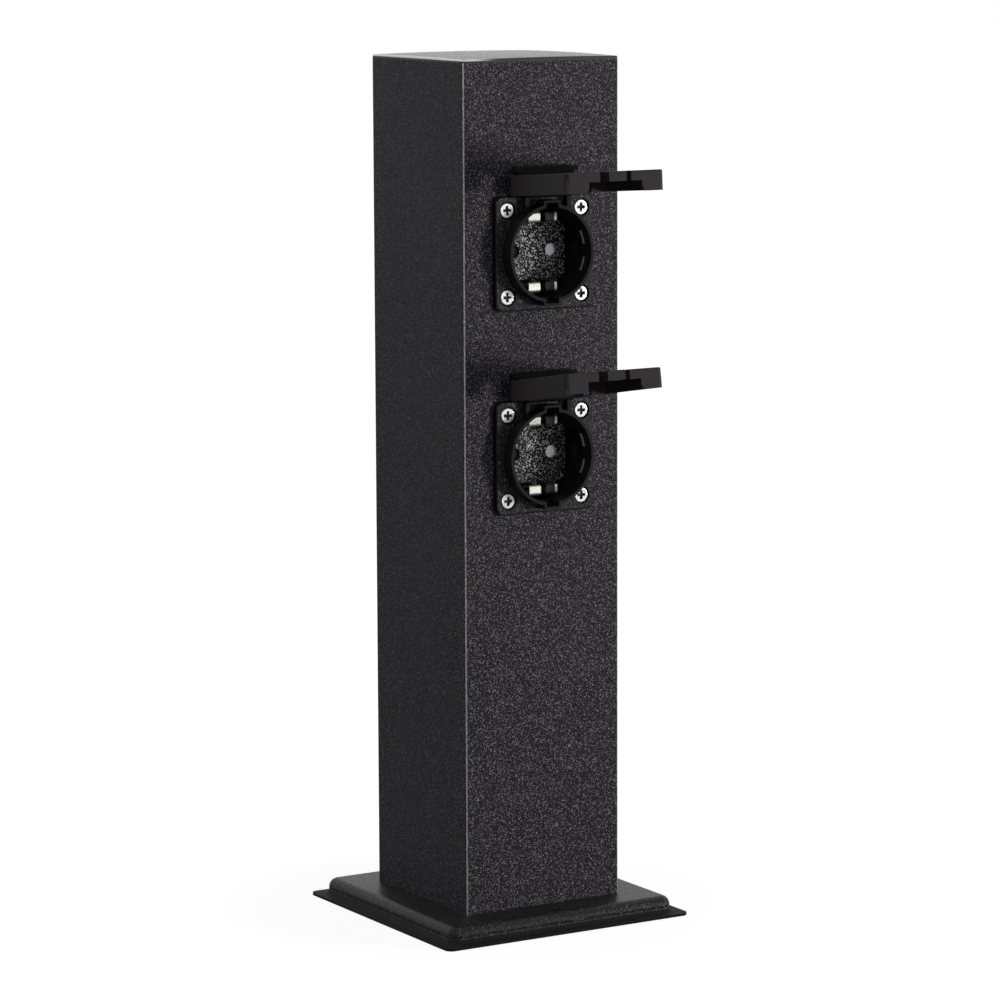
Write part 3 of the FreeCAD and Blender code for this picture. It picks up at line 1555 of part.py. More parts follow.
def lid(place, height, tilt):
    """Splash lid: a shallow box with a finger notch, a latch tongue, a neck, knuckles and a stop ridge."""
    body = new_body(f"{place}_lid")
    front = -lid_end
    back = -dims.lid_start
    wall = dims.lid_wall
    sketch = new_sketch(body, "XY_Plane", lid_rim)
    add_outline(
        sketch,
        [
            (-lid_half, front, dims.lid_front_corner),
            (lid_half, front, dims.lid_front_corner),
            (lid_half, back, dims.lid_rear_corner),
            (-lid_half, back, dims.lid_rear_corner),
        ],
    )
    pad(body, sketch, lid_top - lid_rim)
    rounded(body, dims.lid_edge, lambda p: near(p.z, lid_top))
    sketch = new_sketch(body, "XY_Plane", lid_rim)
    add_rectangle(
        sketch, wall - lid_half, lid_half - wall, front + wall, back - wall, dims.lid_edge
    )
    pocket(body, sketch, lid_inner - lid_rim, "along")
    # gap in the rear wall for the collar and the boss
    gap = dims.rear_gap_half_width
    sketch = new_sketch(body, "XY_Plane", lid_rim)
    add_rectangle(sketch, -gap, gap, back - 1.5 * wall, back + wall)
    pocket(body, sketch, lid_inner - lid_rim, "along")
    # neck and stop ridge
    half = dims.hinge_half_width
    sketch = new_sketch(body, "XY_Plane", lid_inner)
    add_outline(
        sketch,
        [
            (-half, back - wall),
            (half, back - wall),
            (half, dims.neck_back, dims.neck_corner),
            (-half, dims.neck_back, dims.neck_corner),
        ],
    )
    pad(body, sketch, dims.lid_plate)
    sketch = new_sketch(body, "XZ_Plane", -dims.neck_back)
    ridge_top = lid_top + dims.ridge_height
    inset = dims.neck_corner
    add_outline(
        sketch,
        [
            (-half + inset, lid_top - dims.lid_plate / 2),
            (half - inset, lid_top - dims.lid_plate / 2),
            (half - inset, lid_top + dims.ridge_height / 3),
            (half, lid_top + dims.ridge_height / 3),
            (half, ridge_top, dims.ridge_round),
            (-half, ridge_top, dims.ridge_round),
            (-half, lid_top + dims.ridge_height / 3),
            (-half + inset, lid_top + dims.ridge_height / 3),
        ],
    )
    pad(body, sketch, dims.ridge_thickness)
    # knuckles
    knuckle = dims.knuckle_radius
    start = dims.boss_half_width + dims.knuckle_gap
    sketch = new_sketch(body, "YZ_Plane", start)
    add_outline(
        sketch,
        [
            (-knuckle, -knuckle, knuckle * 0.9),
            (knuckle, -knuckle, knuckle * 0.9),
            (knuckle, lid_inner + dims.lid_plate / 2),
            (-knuckle, lid_inner + dims.lid_plate / 2),
        ],
    )
    ear = pad(body, sketch, half - start)
    mirrored(body, [ear], "YZ_Plane")
    sketch = new_sketch(body, "YZ_Plane")
    add_circle(sketch, 0, 0, dims.pin_radius + dims.pin_play)
    pocket(body, sketch, 4 * half, "both")
    # latch tongue, then the finger notch and the recess round the tongue
    tongue = dims.tongue_half_width
    tongue_back = front + dims.recess_depth
    tongue_front = front - dims.tongue_reach
    sketch = new_sketch(body, "XY_Plane", notch_top)
    add_rectangle(sketch, -tongue, tongue, tongue_front, tongue_back)
    pad(body, sketch, lid_top - notch_top)
    sketch = new_sketch(body, "XZ_Plane", lid_end - 1.5 * wall)
    notch = dims.notch_half_width
    add_rectangle(sketch, -notch, notch, lid_rim - wall, notch_top)
    pocket(body, sketch, None, "along")
    recess = dims.recess_half_width
    sketch = new_sketch(body, "XY_Plane", notch_top)
    add_rectangle(sketch, -recess, -tongue, front - wall, tongue_back)
    add_rectangle(sketch, tongue, recess, front - wall, tongue_back)
    pocket(body, sketch, None, "along")
    rounded(body, dims.lid_edge, lambda p: near(p.z, lid_top) and near(p.y, tongue_front))
    rounded(
        body,
        dims.notch_round,
        lambda p: near(p.z, lid_rim) and near(abs(p.x), notch) and p.y < float(front + wall) + 0.01,
    )
    return hang(body, f"{place}_lid", height, tilt)


def lid_seal(place, height, tilt):
    """Soft ring under the lid's plate that meets the collar's rim."""
    body = new_body(f"{place}_lid_seal")
    sketch = new_sketch(body, "XY_Plane", lid_inner - dims.seal_thickness)
    add_circle(sketch, 0, -dims.hinge_rise, dims.seal_outer_radius)
    add_circle(sketch, 0, -dims.hinge_rise, dims.seal_inner_radius)
    pad(body, sketch, dims.seal_thickness)
    return hang(body, f"{place}_lid_seal", height, tilt)


def hinge_pin(place, height):
    body = new_body(f"{place}_hinge_pin")
    sketch = new_sketch(body, "YZ_Plane")
    add_circle(sketch, -hinge_level, dims.hinge_rise, dims.pin_radius)
    pad(body, sketch, 2 * dims.hinge_half_width, "both")
    return keep(body, f"{place}_hinge_pin", height)


base_plate()
post()
top_cap()
foot_tray()
base_screws()
base_nuts()
cable_grommet()
terminal_bracket()
bracket_screws()
cable_clamp()
clamp_screws()
terminal_block()
barrel("live_barrel", -dims.pole_pitch)
barrel("earth_barrel", 0 * dims.pole_pitch)
barrel("neutral_barrel", dims.pole_pitch)
barrel_screws()
block_screws()
earth_stud()
earth_nut()

for place, height, tilt in (
    ("upper", upper_height, dims.upper_tilt),
    ("lower", lower_height, dims.lower_tilt),
):
    socket_housing(place, height)
    flange_gasket(place, height)
    flange_screws(place, height)
    flange_nuts(place, height)
    contact_insert(place, height)
    shutter(place, height)
    shutter_spring(place, height)
    contact_carrier(place, height)
    line_contact(place, "live_contact", -half_pins, height)
    line_contact(place, "neutral_contact", half_pins, height)
    earth_clip(place, height)
    terminal_screws(place, height)
    hinge_pin(place, height)
    lid(place, height, tilt)
    lid_seal(place, height, tilt)

# The wires' ends: inside a barrel of the block, and inside the wire holes of the terminals.

block_top = float(block_middle) + float(dims.block_height) / 4
hole_y = -float(terminal_level) - float(dims.wire_hole_depth) + float(dims.wire_radius)
exit_y = -float(carrier_back) + 10.0
lower = float(lower_height)
upper = float(upper_height)
line_drop = float(dims.wire_hole_height)
offset = float(dims.wire_hole_offset)
pins = float(half_pins)
pole = float(dims.pole_pitch)
low_run = float(block_low) + float(dims.block_height)

for name, side in (("live", -1), ("neutral", 1)):
    outer = side * (pins + offset)
    inner = side * (pins - offset)
    lower_hole = lower - line_drop
    upper_hole = upper - line_drop
    wire(
        f"feed_{name}_wire",
        [
            vector(side * pole, barrel_y, block_top),
            vector(side * pole, barrel_y, low_run + 18),
            vector(side * (pole + 4), float(barrel_y) - 5, low_run + 62),
            vector(side * (pole + 2.5), 4, lower_hole - 22),
            vector(outer, exit_y, lower_hole),
            vector(outer, hole_y, lower_hole),
        ],
    )
    wire(
        f"link_{name}_wire",
        [
            vector(inner, hole_y, lower_hole),
            vector(inner, exit_y, lower_hole),
            vector(inner, exit_y + 8, lower_hole + 18),
            vector(side * (pins + 0.5), exit_y + 9, upper_hole - 24),
            vector(outer, exit_y, upper_hole),
            vector(outer, hole_y, upper_hole),
        ],
    )

wire(
    "feed_earth_wire",
    [
        vector(0, barrel_y, block_top),
        vector(0, barrel_y, low_run + 24),
        vector(3, float(barrel_y) - 4, low_run + 76),
        vector(2, 8, lower + line_drop - 20),
        vector(offset, exit_y, lower + line_drop),
        vector(offset, hole_y, lower + line_drop),
    ],
)
wire(
    "link_earth_wire",
    [
        vector(-offset, hole_y, lower + line_drop),
        vector(-offset, exit_y, lower + line_drop),
        vector(-offset, exit_y + 8, lower + line_drop + 18),
        vector(0.5, exit_y + 8, upper + line_drop - 22),
        vector(offset, exit_y, upper + line_drop),
        vector(offset, hole_y, upper + line_drop),
    ],
)

# The bond wire runs from the earth pole down to a ring lug on the tray's stud.
stud = float(dims.stud_offset)
ground = float(tray_floor)
ring = Part.makeCylinder(
    float(dims.lug_radius), float(dims.lug_thickness), vector(stud, 0, ground)
)
tail = Part.makeBox(
    stud / 3, float(dims.lug_radius), float(dims.lug_thickness),
    vector(stud - stud / 3, -float(dims.lug_radius) / 2, ground),
)
hole = Part.makeCylinder(
    float(dims.stud_radius), float(dims.lug_thickness), vector(stud, 0, ground)
)
lug = ring.fuse(tail).cut(hole)
rest = ground + float(dims.wire_radius) + float(dims.lug_thickness) / 3
wire(
    "bond_wire",
    [
        vector(0, barrel_y, float(block_middle) - float(dims.block_height) / 4),
        vector(0, barrel_y, float(block_low) - 8),
        vector(6, 8, ground + 19),
        vector(13, 1, ground + 7),
        vector(stud - float(dims.lug_radius) - 1.5, 0, rest),
    ],
    lug,
)

document.recompute()
failed = []
for thing in document.Objects:
    if "Invalid" in thing.State or "Error" in thing.State:
        owner = thing.getParentGeoFeatureGroup()
        failed.append(f"{thing.Name} of {owner and owner.Label}: {thing.State}")
for thing in NODES:
    if thing.Shape.isNull() or not thing.Shape.isValid():
        failed.append(f"{thing.Label}: bad shape")
if failed:
    raise RuntimeError("; ".join(failed))

os.makedirs("parts", exist_ok=True)
for thing in NODES:
    thing.Shape.exportStep(f"parts/{thing.Label}.step")
    solids = len(thing.Shape.Solids)
    print(f"{thing.Label}: {solids} solid(s), {thing.Shape.Volume:.1f} mm3")
print(f"{len(NODES)} pieces")
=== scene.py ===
# %% [markdown]
# # Outdoor socket post
# A square steel post, powder coated in dark grey, stands on a pressed base plate. Two earthed
# sockets are screwed to its front, one above the other, and each has a splash lid that stands open.
# The solids come from the CAD model. This lesson gives them their finishes, winds the two springs
# that have to get shorter, puts the post in a white studio and sets the camera where the
# photographer stood.

# %% Load the solids
import json
import math
import bpy
from mathutils import Matrix, Vector


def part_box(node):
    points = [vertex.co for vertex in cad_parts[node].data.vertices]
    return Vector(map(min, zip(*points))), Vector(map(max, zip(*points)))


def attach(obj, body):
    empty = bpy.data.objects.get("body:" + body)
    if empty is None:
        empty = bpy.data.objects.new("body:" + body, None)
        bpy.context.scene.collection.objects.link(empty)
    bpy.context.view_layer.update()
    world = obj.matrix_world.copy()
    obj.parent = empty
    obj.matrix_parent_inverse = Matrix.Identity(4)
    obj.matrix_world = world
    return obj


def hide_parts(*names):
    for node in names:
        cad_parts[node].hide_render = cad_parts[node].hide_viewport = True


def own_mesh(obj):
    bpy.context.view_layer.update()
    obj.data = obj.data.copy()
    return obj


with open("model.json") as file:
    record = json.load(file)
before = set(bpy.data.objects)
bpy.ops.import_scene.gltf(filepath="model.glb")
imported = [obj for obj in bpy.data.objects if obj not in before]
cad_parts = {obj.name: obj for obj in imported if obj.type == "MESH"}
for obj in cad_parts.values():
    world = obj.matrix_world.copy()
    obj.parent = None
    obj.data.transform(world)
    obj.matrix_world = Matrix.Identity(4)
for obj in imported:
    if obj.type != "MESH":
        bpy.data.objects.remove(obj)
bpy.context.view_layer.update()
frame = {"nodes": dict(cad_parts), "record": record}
record = frame["record"]

# %% [markdown]
# ## Arithmetic on sockets
# A finish is a small program made of nodes. Wired by hand, even `1 - mask` takes four lines, so a
# class wraps an output socket and turns Python's operators into Math nodes. Colours and vectors
# don't go through Math, because it keeps only their brightness: Mix and Vector Math take those.

# %% A socket that can be added and multiplied


class Signal:
    """One output of a node, which takes part in arithmetic."""

    def __init__(self, wiring, socket):
        self.wiring = wiring
        self.socket = socket

    def __add__(self, other):
        return self.wiring.math("ADD", self, other)

    __radd__ = __add__

    def __mul__(self, other):
        return self.wiring.math("MULTIPLY", self, other)

    __rmul__ = __mul__

    def __sub__(self, other):
        return self.wiring.math("SUBTRACT", self, other)

    def __rsub__(self, other):
        return self.wiring.math("SUBTRACT", other, self)

    def __pow__(self, other):
        return self.wiring.math("POWER", self, other)

    def __gt__(self, other):
        return self.wiring.math("GREATER_THAN", self, other)

    def __lt__(self, other):
        return self.wiring.math("LESS_THAN", self, other)

    def __abs__(self):
        return self.wiring.math("ABSOLUTE", self)


print("a Signal takes + - * ** < > and abs")

# %% [markdown]
# ## One method for every node
# Materials and the world are both trees of nodes, so one class serves them. `node` makes any node:
# its settings come first, because they decide which sockets it has, and then the values or links of
# its sockets.

# %% The wiring class


class Wiring:
    """The nodes of a material or of the world."""

    def __init__(self, owner, ending):
        owner.use_nodes = True
        self.tree = owner.node_tree
        self.tree.nodes.clear()
        self.ending = self.tree.nodes.new(ending)

    def node(self, kind, settings=None, inputs=None, out=0):
        """Makes a node and gives back one of its outputs."""
        made = self.tree.nodes.new(kind)
        for key, value in (settings or {}).items():
            setattr(made, key, value)
        for key, value in (inputs or {}).items():
            if isinstance(value, Signal):
                self.tree.links.new(value.socket, made.inputs[key])
            else:
                made.inputs[key].default_value = value
        return Signal(self, made.outputs[out])

    def math(self, operation, first, second=0.0):
        return self.node("ShaderNodeMath", {"operation": operation}, {0: first, 1: second})

    def rays(self, kind):
        """1 for the rays of this kind, such as Camera, and 0 for all others."""
        return self.node("ShaderNodeLightPath", out=f"Is {kind} Ray")

    def end(self, shader):
        """The shader that the whole tree works towards."""
        self.tree.links.new(shader.socket, self.ending.inputs["Surface"])


print("Wiring makes every node with", Wiring.node.__name__)

# %% [markdown]
# ## One class for every finish
# A finish starts from the place on the object and ends in a Principled shader. Its methods are short
# names for what nearly every finish needs: grain of a real size in millimetres, a soft step, a blend
# of two colours and a relief.

# %% The finish class
MM = 0.001


class Finish(Wiring):
    """A material that is built up from nodes."""

    def __init__(self, name):
        self.material = bpy.data.materials.new(name)
        super().__init__(self.material, "ShaderNodeOutputMaterial")
        self.place = self.node("ShaderNodeTexCoord", out="Object")

    def axes(self):
        """The three coordinates of the place, in metres."""
        split = self.node("ShaderNodeSeparateXYZ", {}, {"Vector": self.place}).socket.node
        return [Signal(self, socket) for socket in split.outputs]

    def grain(self, size_mm, detail=2.0, roughness=0.5):
        """Cloudy noise from 0 to 1 whose blots are about this wide."""
        scale = 1.0 / (size_mm * MM)
        cloud = {"Vector": self.place, "Scale": scale, "Detail": detail, "Roughness": roughness}
        return self.node("ShaderNodeTexNoise", {}, cloud, out="Fac")

    def speckle(self, size_mm):
        """A random number from 0 to 1 for every little cell of about this width."""
        cells = {"Vector": self.place, "Scale": 1.0 / (size_mm * MM)}
        tint = self.node("ShaderNodeTexVoronoi", {}, cells, out="Color")
        return self.node("ShaderNodeSeparateColor", {}, {"Color": tint}, out="Red")

    def step(self, value, low, high, first=0.0, last=1.0):
        """Goes smoothly from first to last while the value goes from low to high."""
        return self.node(
            "ShaderNodeMapRange",
            {"interpolation_type": "SMOOTHSTEP"},
            {"Value": value, "From Min": low, "From Max": high, "To Min": first, "To Max": last},
        )

    def blend(self, mask, first, second):
        """One colour where the mask is 0 and the other where it is 1."""
        # A Mix node has a set of sockets for each kind of value. 6, 7 and 2 are those for colours.
        return self.node(
            "ShaderNodeMix", {"data_type": "RGBA"}, {"Factor": mask, 6: first, 7: second}, out=2
        )

    def relief(self, height, depth_mm):
        """Bumps of this height, as deep as this where the height is 1."""
        return self.node(
            "ShaderNodeBump", {}, {"Height": height, "Distance": depth_mm * MM}, out="Normal"
        )

    def surface(self, fixed=None, **inputs):
        """Ends the finish. `fixed` holds the inputs that are the same all over the surface."""
        names = {key.replace("_", " ").title(): value for key, value in inputs.items()}
        self.end(self.node("ShaderNodeBsdfPrincipled", {}, {**names, **(fixed or {})}, out="BSDF"))
        print("made", self.material.name)
        return self.material


# %% [markdown]
# A colour has four numbers: red, green, blue, and how solid it is, which is always 1 here. They are
# written as linear light, so 0.002 is nearly black and 0.2 is a middle grey.

# %% Colours


def colour(red, green, blue):
    return (red, green, blue, 1.0)


def grey(level):
    return colour(level, level, level)


def toned(tint, factor):
    """The same hue, brighter or darker."""
    return tuple(min(1.0, part * factor) for part in tint[:3]) + (1.0,)


SOOT_AND_SHADE = grey(0.002)  # dirt, dark joints, painted shade in seams and on the lids' hinge ends, and the darkest plastic
print("soot is", SOOT_AND_SHADE)

# %% [markdown]
# ## Where a socket is
# Grime, painted shade and grain follow the parts of a socket: its flange, its screws, its well. Both
# sockets are the same, 90 mm apart, so folding the height back and forth with a ping-pong makes one
# of them. Every mask that is drawn for it then works on both.

# %% Masks round the sockets
LOWER_SOCKET = 0.212  # height of the lower socket's middle
SOCKET_PITCH = 0.090
SCREW_SPACING = 0.038


def socket_place(finish):
    """Place from a socket's middle, in metres: across, depth, up or down, and distance."""
    x, y, z = finish.axes()
    up = finish.math("PINGPONG", z - LOWER_SOCKET, SOCKET_PITCH / 2)
    return x, y, up, finish.math("SQRT", x * x + up * up)


def screw_place(finish, x, up):
    """Place from the nearest of the four screws, in metres: across, along, and distance."""
    across = abs(x) - SCREW_SPACING / 2
    along = up - SCREW_SPACING / 2
    return across, along, finish.math("SQRT", across * across + along * along)


def square_distance(finish, across, along):
    """The half width of the upright square that passes through this place."""
    return finish.math("MAXIMUM", abs(across), along)


print("sockets at", LOWER_SOCKET, "and", round(LOWER_SOCKET + SOCKET_PITCH, 3), "m")

# %% [markdown]
# ## Powder coat
# The post is sprayed with dry powder that melts into a skin with a fine sparkling grain. Close up it
# is a field of tiny bumps that catch the light one by one. An image could show that, but it would
# need a map on every face. Cells in space need none and have their true size. A high power of the
# random number leaves most of them dark and only a few bright.

# %% Coarse powder coat
CRUMB_POWER = 9.0
VIOLET = colour(0.96, 0.91, 1.0)  # the faint tint of the coat's gloss


def coarse_coat(name, dark, light, crumb_mm, depth_mm, roughness, gloss, light_and_wear):
    """Powder coat. The last argument draws where the coat is worn or painted bright, and where dirt or
    painted shade lies.
    """
    coat = Finish(name)
    crumbs = coat.speckle(crumb_mm)
    clouds = coat.grain(crumb_mm * 2.5, 2.0, 0.6)
    # the first mask is a painted highlight with some wear, the second is dirt, dark joints and painted
    # shade
    wear_and_painted_light, dirt_and_shade = light_and_wear(coat, crumbs)
    base = coat.blend(dirt_and_shade, coat.blend(crumbs**CRUMB_POWER, dark, light), SOOT_AND_SHADE)
    return coat.surface(
        base_color=coat.blend(wear_and_painted_light, base, grey(0.85)),
        roughness=coat.grain(60.0) * 0.08 + roughness,
        metallic=wear_and_painted_light * 0.6,
        normal=coat.relief(crumbs * 0.7 + clouds * 0.3, depth_mm),
        fixed={"Specular IOR Level": gloss, "Specular Tint": VIOLET},
    )


# %% [markdown]
# On the post the coat is painted bright along the folds of the sheet, a painted highlight with some
# wear. The sum of the distances from the middle, across and in depth, is largest at a corner, so one
# step on that sum finds all four folds. A thin line of painted shade lies in the seam round each
# flange.

# %% Coat of the post
FOLD = 0.07908, 0.07914  # from the side of a fold to its ridge
FLANGE_SEAM = 0.0256  # half width of the flange with the seam round it
FRONT_SKIN = -0.0395  # the front of the post and nothing behind it
FLANGE_HEIGHTS = 0.18, 0.334  # the stretch of the post where the flanges are


def post_painted_light_and_wear(coat, crumbs):
    x, y, z = coat.axes()
    # painted highlight along the four folds, with some wear
    fold = coat.step(abs(x) + abs(y), *FOLD)
    x, y, up, radius = socket_place(coat)
    beside = (z > FLANGE_HEIGHTS[0]) * (z < FLANGE_HEIGHTS[1])
    # painted shade in the seam round each flange
    seam_shade = (square_distance(coat, x, up) < FLANGE_SEAM) * (y < FRONT_SKIN) * beside
    return fold * (crumbs * 0.6 + 0.4), seam_shade


post_coat = coarse_coat(
    "post_coat",
    dark=colour(0.002, 0.0018, 0.0022),
    light=colour(0.72, 0.683, 0.743),
    crumb_mm=0.34,
    depth_mm=0.45,
    roughness=0.46,
    gloss=0.22,
    light_and_wear=post_painted_light_and_wear,
)

# %% [markdown]
# The cap has the same coat with coarser crumbs. Its left rim carries a painted highlight, and under the
# rest of the rim lies the dark line of the joint with the post.

# %% Coat of the cap
RIM_TOP = 0.0393  # half width where the painted highlight on the rim begins
RIM_SIDE = 0.0396  # half width where the dark joint begins
RIM_HEIGHT = 0.3861
RIM_HIGHLIGHT_FADE = -0.036, -0.020  # across the cap, where the painted highlight fades out


def cap_painted_light_and_wear(cap, crumbs):
    x, y, z = cap.axes()
    rim = square_distance(cap, x, abs(y))
    # painted highlight on the left rim
    wear_and_painted_light = (rim > RIM_TOP) * (z > RIM_HEIGHT) * cap.step(x, *RIM_HIGHLIGHT_FADE, 1.0, 0.0)
    return wear_and_painted_light, rim > RIM_SIDE


cap_coat = coarse_coat(
    "cap_coat",
    dark=colour(0.004, 0.0038, 0.0042),
    light=colour(0.95, 0.91, 0.97),
    crumb_mm=0.80,
    depth_mm=0.30,
    roughness=0.26,
    gloss=0.50,
    light_and_wear=cap_painted_light_and_wear,
)

# %% [markdown]
# ## Pressed base plate
# The base has a smoother, glossier coat than the post. Fine sand and an orange peel break its sheen,
# so its rounded shoulder carries one long soft light. The flat lip below is matt, and painted near
# black as shade.

# %% Satin coat of the base plate
LIP_TOP = 0.0030  # height that parts the lip from the raised middle


def satin_coat(name):
    coat = Finish(name)
    peel = coat.grain(1.6)
    sand = coat.speckle(0.5)
    grainy = coat.blend(sand**8.0, colour(0.001, 0.0009, 0.001), colour(0.22, 0.209, 0.227))
    # painted shade: the lip below LIP_TOP is near black
    lip_shade = coat.axes()[2] < LIP_TOP
    return coat.surface(
        base_color=coat.blend(lip_shade, grainy, grey(0.0005)),
        roughness=coat.grain(30.0) * 0.08 + lip_shade * 0.35 + 0.35,
        normal=coat.relief(peel * 0.2 + sand * 0.8, 0.85),
        fixed={"Specular IOR Level": 0.24},
    )


base_coat = satin_coat("base_coat")

# %% [markdown]
# ## Moulded plastics
# The housing is one moulding with two faces: a smooth black well and collar, and a flange that was
# given the same coarse grain as the post. Two circles, one round each socket, tell them apart. The
# wells of the screws and the edge of the flange are painted dark as shade, and the ends of two guide
# ribs in the collar carry a painted pale highlight.

# %% Housing of a socket
COLLAR_RADIUS = 0.0216
COLLAR_DEPTH = -0.0424  # the collar stands farther out than this, and the flange doesn't
SCREW_WELL_RADIUS = 0.0042
FLANGE_EDGE = 0.0246  # half width of the flange inside its rounded edge
RIB_SIDE = 0.016  # the ribs stand farther to the right than this
RIB_RADIUS = 0.0200
RIB_END = -0.0440, -0.0432  # depth of the ends of the ribs


def housing(name):
    plastic = Finish(name)
    x, y, up, radius = socket_place(plastic)
    flange = (y > COLLAR_DEPTH) * (radius > COLLAR_RADIUS)
    crumbs = plastic.speckle(0.44)
    fine = plastic.grain(0.5)
    grained = plastic.blend(crumbs**5.0, SOOT_AND_SHADE, colour(0.28, 0.272, 0.295))
    smooth = plastic.blend(fine, SOOT_AND_SHADE, grey(0.005))
    # painted shade in the screw wells
    screw_well_shade = screw_place(plastic, x, up)[2] < SCREW_WELL_RADIUS
    # painted shade on the edge of the flange
    edge = square_distance(plastic, x, up) > FLANGE_EDGE
    base = plastic.blend(screw_well_shade + edge, plastic.blend(flange, smooth, grained), grey(0.001))
    # painted pale highlight on the ends of the guide ribs
    rib_end_highlight = (x > RIB_SIDE) * (radius < RIB_RADIUS) * (y > RIB_END[0]) * (y < RIB_END[1])
    return plastic.surface(
        base_color=plastic.blend(rib_end_highlight, base, grey(0.60)),
        roughness=0.60 - flange * 0.14,
        normal=plastic.relief(fine * 0.1 + crumbs * flange, 0.2),
        fixed={"Specular IOR Level": 0.22},
    )


housing_plastic = housing("housing_plastic")

# %% [markdown]
# The lids come from another tool and are smoother and warmer. Their hinge end is painted nearly black
# as shade, and the free corners carry a faint painted highlight. A lid keeps its finish as it turns,
# because the place on the object turns with it.

# %% Lids
HINGE_END = -0.0532, -0.0520  # depth where the painted shade on the hinge end begins
LID_CORNER = 0.1229  # sum of the distances across and in depth at the lower lid's corners
UPPER_LID_FARTHER = 0.0003  # the upper lid stands less steep and reaches farther out
UPPER_LID_HEIGHT = 0.29  # only the upper lid is higher than this


def lid_moulding(name):
    plastic = Finish(name)
    x, y, z = plastic.axes()
    # painted shade on the hinge end
    hinge_end_shade = plastic.step(y, *HINGE_END)
    fine = plastic.grain(0.6)
    tone = plastic.blend(fine, colour(0.044, 0.0385, 0.0420), colour(0.060, 0.0530, 0.0575))
    base = plastic.blend(hinge_end_shade, tone, SOOT_AND_SHADE)
    # painted highlight on the free corners
    corner_highlight = abs(x) + abs(y) > (z > UPPER_LID_HEIGHT) * UPPER_LID_FARTHER + LID_CORNER
    return plastic.surface(
        base_color=plastic.blend(corner_highlight, base, grey(0.13)),
        roughness=0.40 + hinge_end_shade * 0.3,
        normal=plastic.relief(fine, 0.03),
        fixed={"Specular IOR Level": 0.13},
    )


lid_plastic = lid_moulding("lid_plastic")

# %% [markdown]
# The terminal block inside the post is the usual off-white plastic, with the fine even texture that a
# spark-eroded mould leaves.

# %% Terminal block


def block_moulding(name, tone):
    plastic = Finish(name)
    texture = plastic.grain(0.8)
    return plastic.surface(
        base_color=plastic.blend(plastic.step(texture, 0.42, 0.68), tone, toned(tone, 1.05)),
        roughness=plastic.grain(14.0, 3.0) * 0.12 + 0.40,
        normal=plastic.relief(texture, 0.01),
    )


block_plastic = block_moulding("block_plastic", colour(0.70, 0.70, 0.66))

# %% [markdown]
# Behind the pin holes stands the shutter of each socket. The leaf on the right is pale and a little
# shiny, and the other is painted black as shade, so that only one hole shines in the pad.

# %% Shutter leaves


def shutter_leaves(name):
    plastic = Finish(name)
    right = plastic.axes()[0] > 0.0
    fine = plastic.grain(0.8)
    pale = plastic.blend(fine, colour(0.86, 0.90, 0.96), colour(0.94, 0.97, 1.0))
    return plastic.surface(
        # the left leaf is painted black as shade
        base_color=plastic.blend(right, grey(0.012), pale),
        roughness=0.55,
        metallic=right * 0.9,
        normal=plastic.relief(fine, 0.01),
    )


shutter_plastic = shutter_leaves("shutter_plastic")

# %% [markdown]
# ## Grained insert
# The pad that carries the pin holes has a much coarser grain than the housing round it, so that it
# sparkles in the dark well. Voronoi cells give the sharp little facets that smooth noise lacks. The
# left of the pad is painted duller, as shade, and sparkles less.

# %% Insert with a sparkling grain
SPARKS = 0.68, 0.96  # of the random numbers, where the facets start to shine and where they shine fully
PAD_SHADE_FADE = -0.013, 0.005  # across the pad, from the painted shade on the left to the full sparkle


def grained_plastic(name):
    plastic = Finish(name)
    facets = plastic.speckle(0.44)
    soft = plastic.grain(1.4)
    across = plastic.axes()[0]
    # painted shade dims the sparkle on the left of the pad
    spark = plastic.step(facets, *SPARKS) * plastic.step(across, *PAD_SHADE_FADE, 0.65, 1.0)
    return plastic.surface(
        base_color=plastic.blend(spark, grey(0.001), grey(0.85)),
        roughness=0.42 - spark * 0.1,
        metallic=spark * 0.5,
        normal=plastic.relief(soft * 0.2 + facets * 0.8, 0.30),
        fixed={"Specular IOR Level": 0.2},
    )


insert_plastic = grained_plastic("insert_plastic")

# %% [markdown]
# ## Metals
# Nickel-plated contacts are bright and slightly warm, zinc-plated steel is greyer with faint
# crystals, springs are dark steel, and the barrels are turned brass. They differ only in tone, gloss
# and the size of their clouds, so one function makes all four.

# %% Plated steel and brass


def plated(name, tone, roughness, cloud_mm, spread):
    metal = Finish(name)
    cloud = metal.grain(cloud_mm, 3.0, 0.6)
    return metal.surface(
        base_color=metal.blend(cloud, tone, toned(tone, 1.12)),
        roughness=cloud * spread + roughness,
        normal=metal.relief(metal.grain(0.3), 0.004),
        fixed={"Metallic": 1.0},
    )


nickel = plated("nickel", colour(0.74, 0.71, 0.66), 0.18, 2.0, 0.18)
zinc = plated("zinc", colour(0.55, 0.57, 0.60), 0.30, 5.0, 0.25)
spring_steel = plated("spring_steel", colour(0.45, 0.45, 0.47), 0.22, 1.0, 0.1)
brass = plated("brass", colour(0.72, 0.52, 0.20), 0.20, 3.0, 0.15)

# %% [markdown]
# On each earth clip one leg is bright, and the other is painted dark as shade up to a bright
# corner near its end.

# %% Earth clips
FAR_LEG_SHADE_START = 0.0, 0.0010  # across the clip
FAR_LEG_SHADE_END = 0.0058, 0.0062


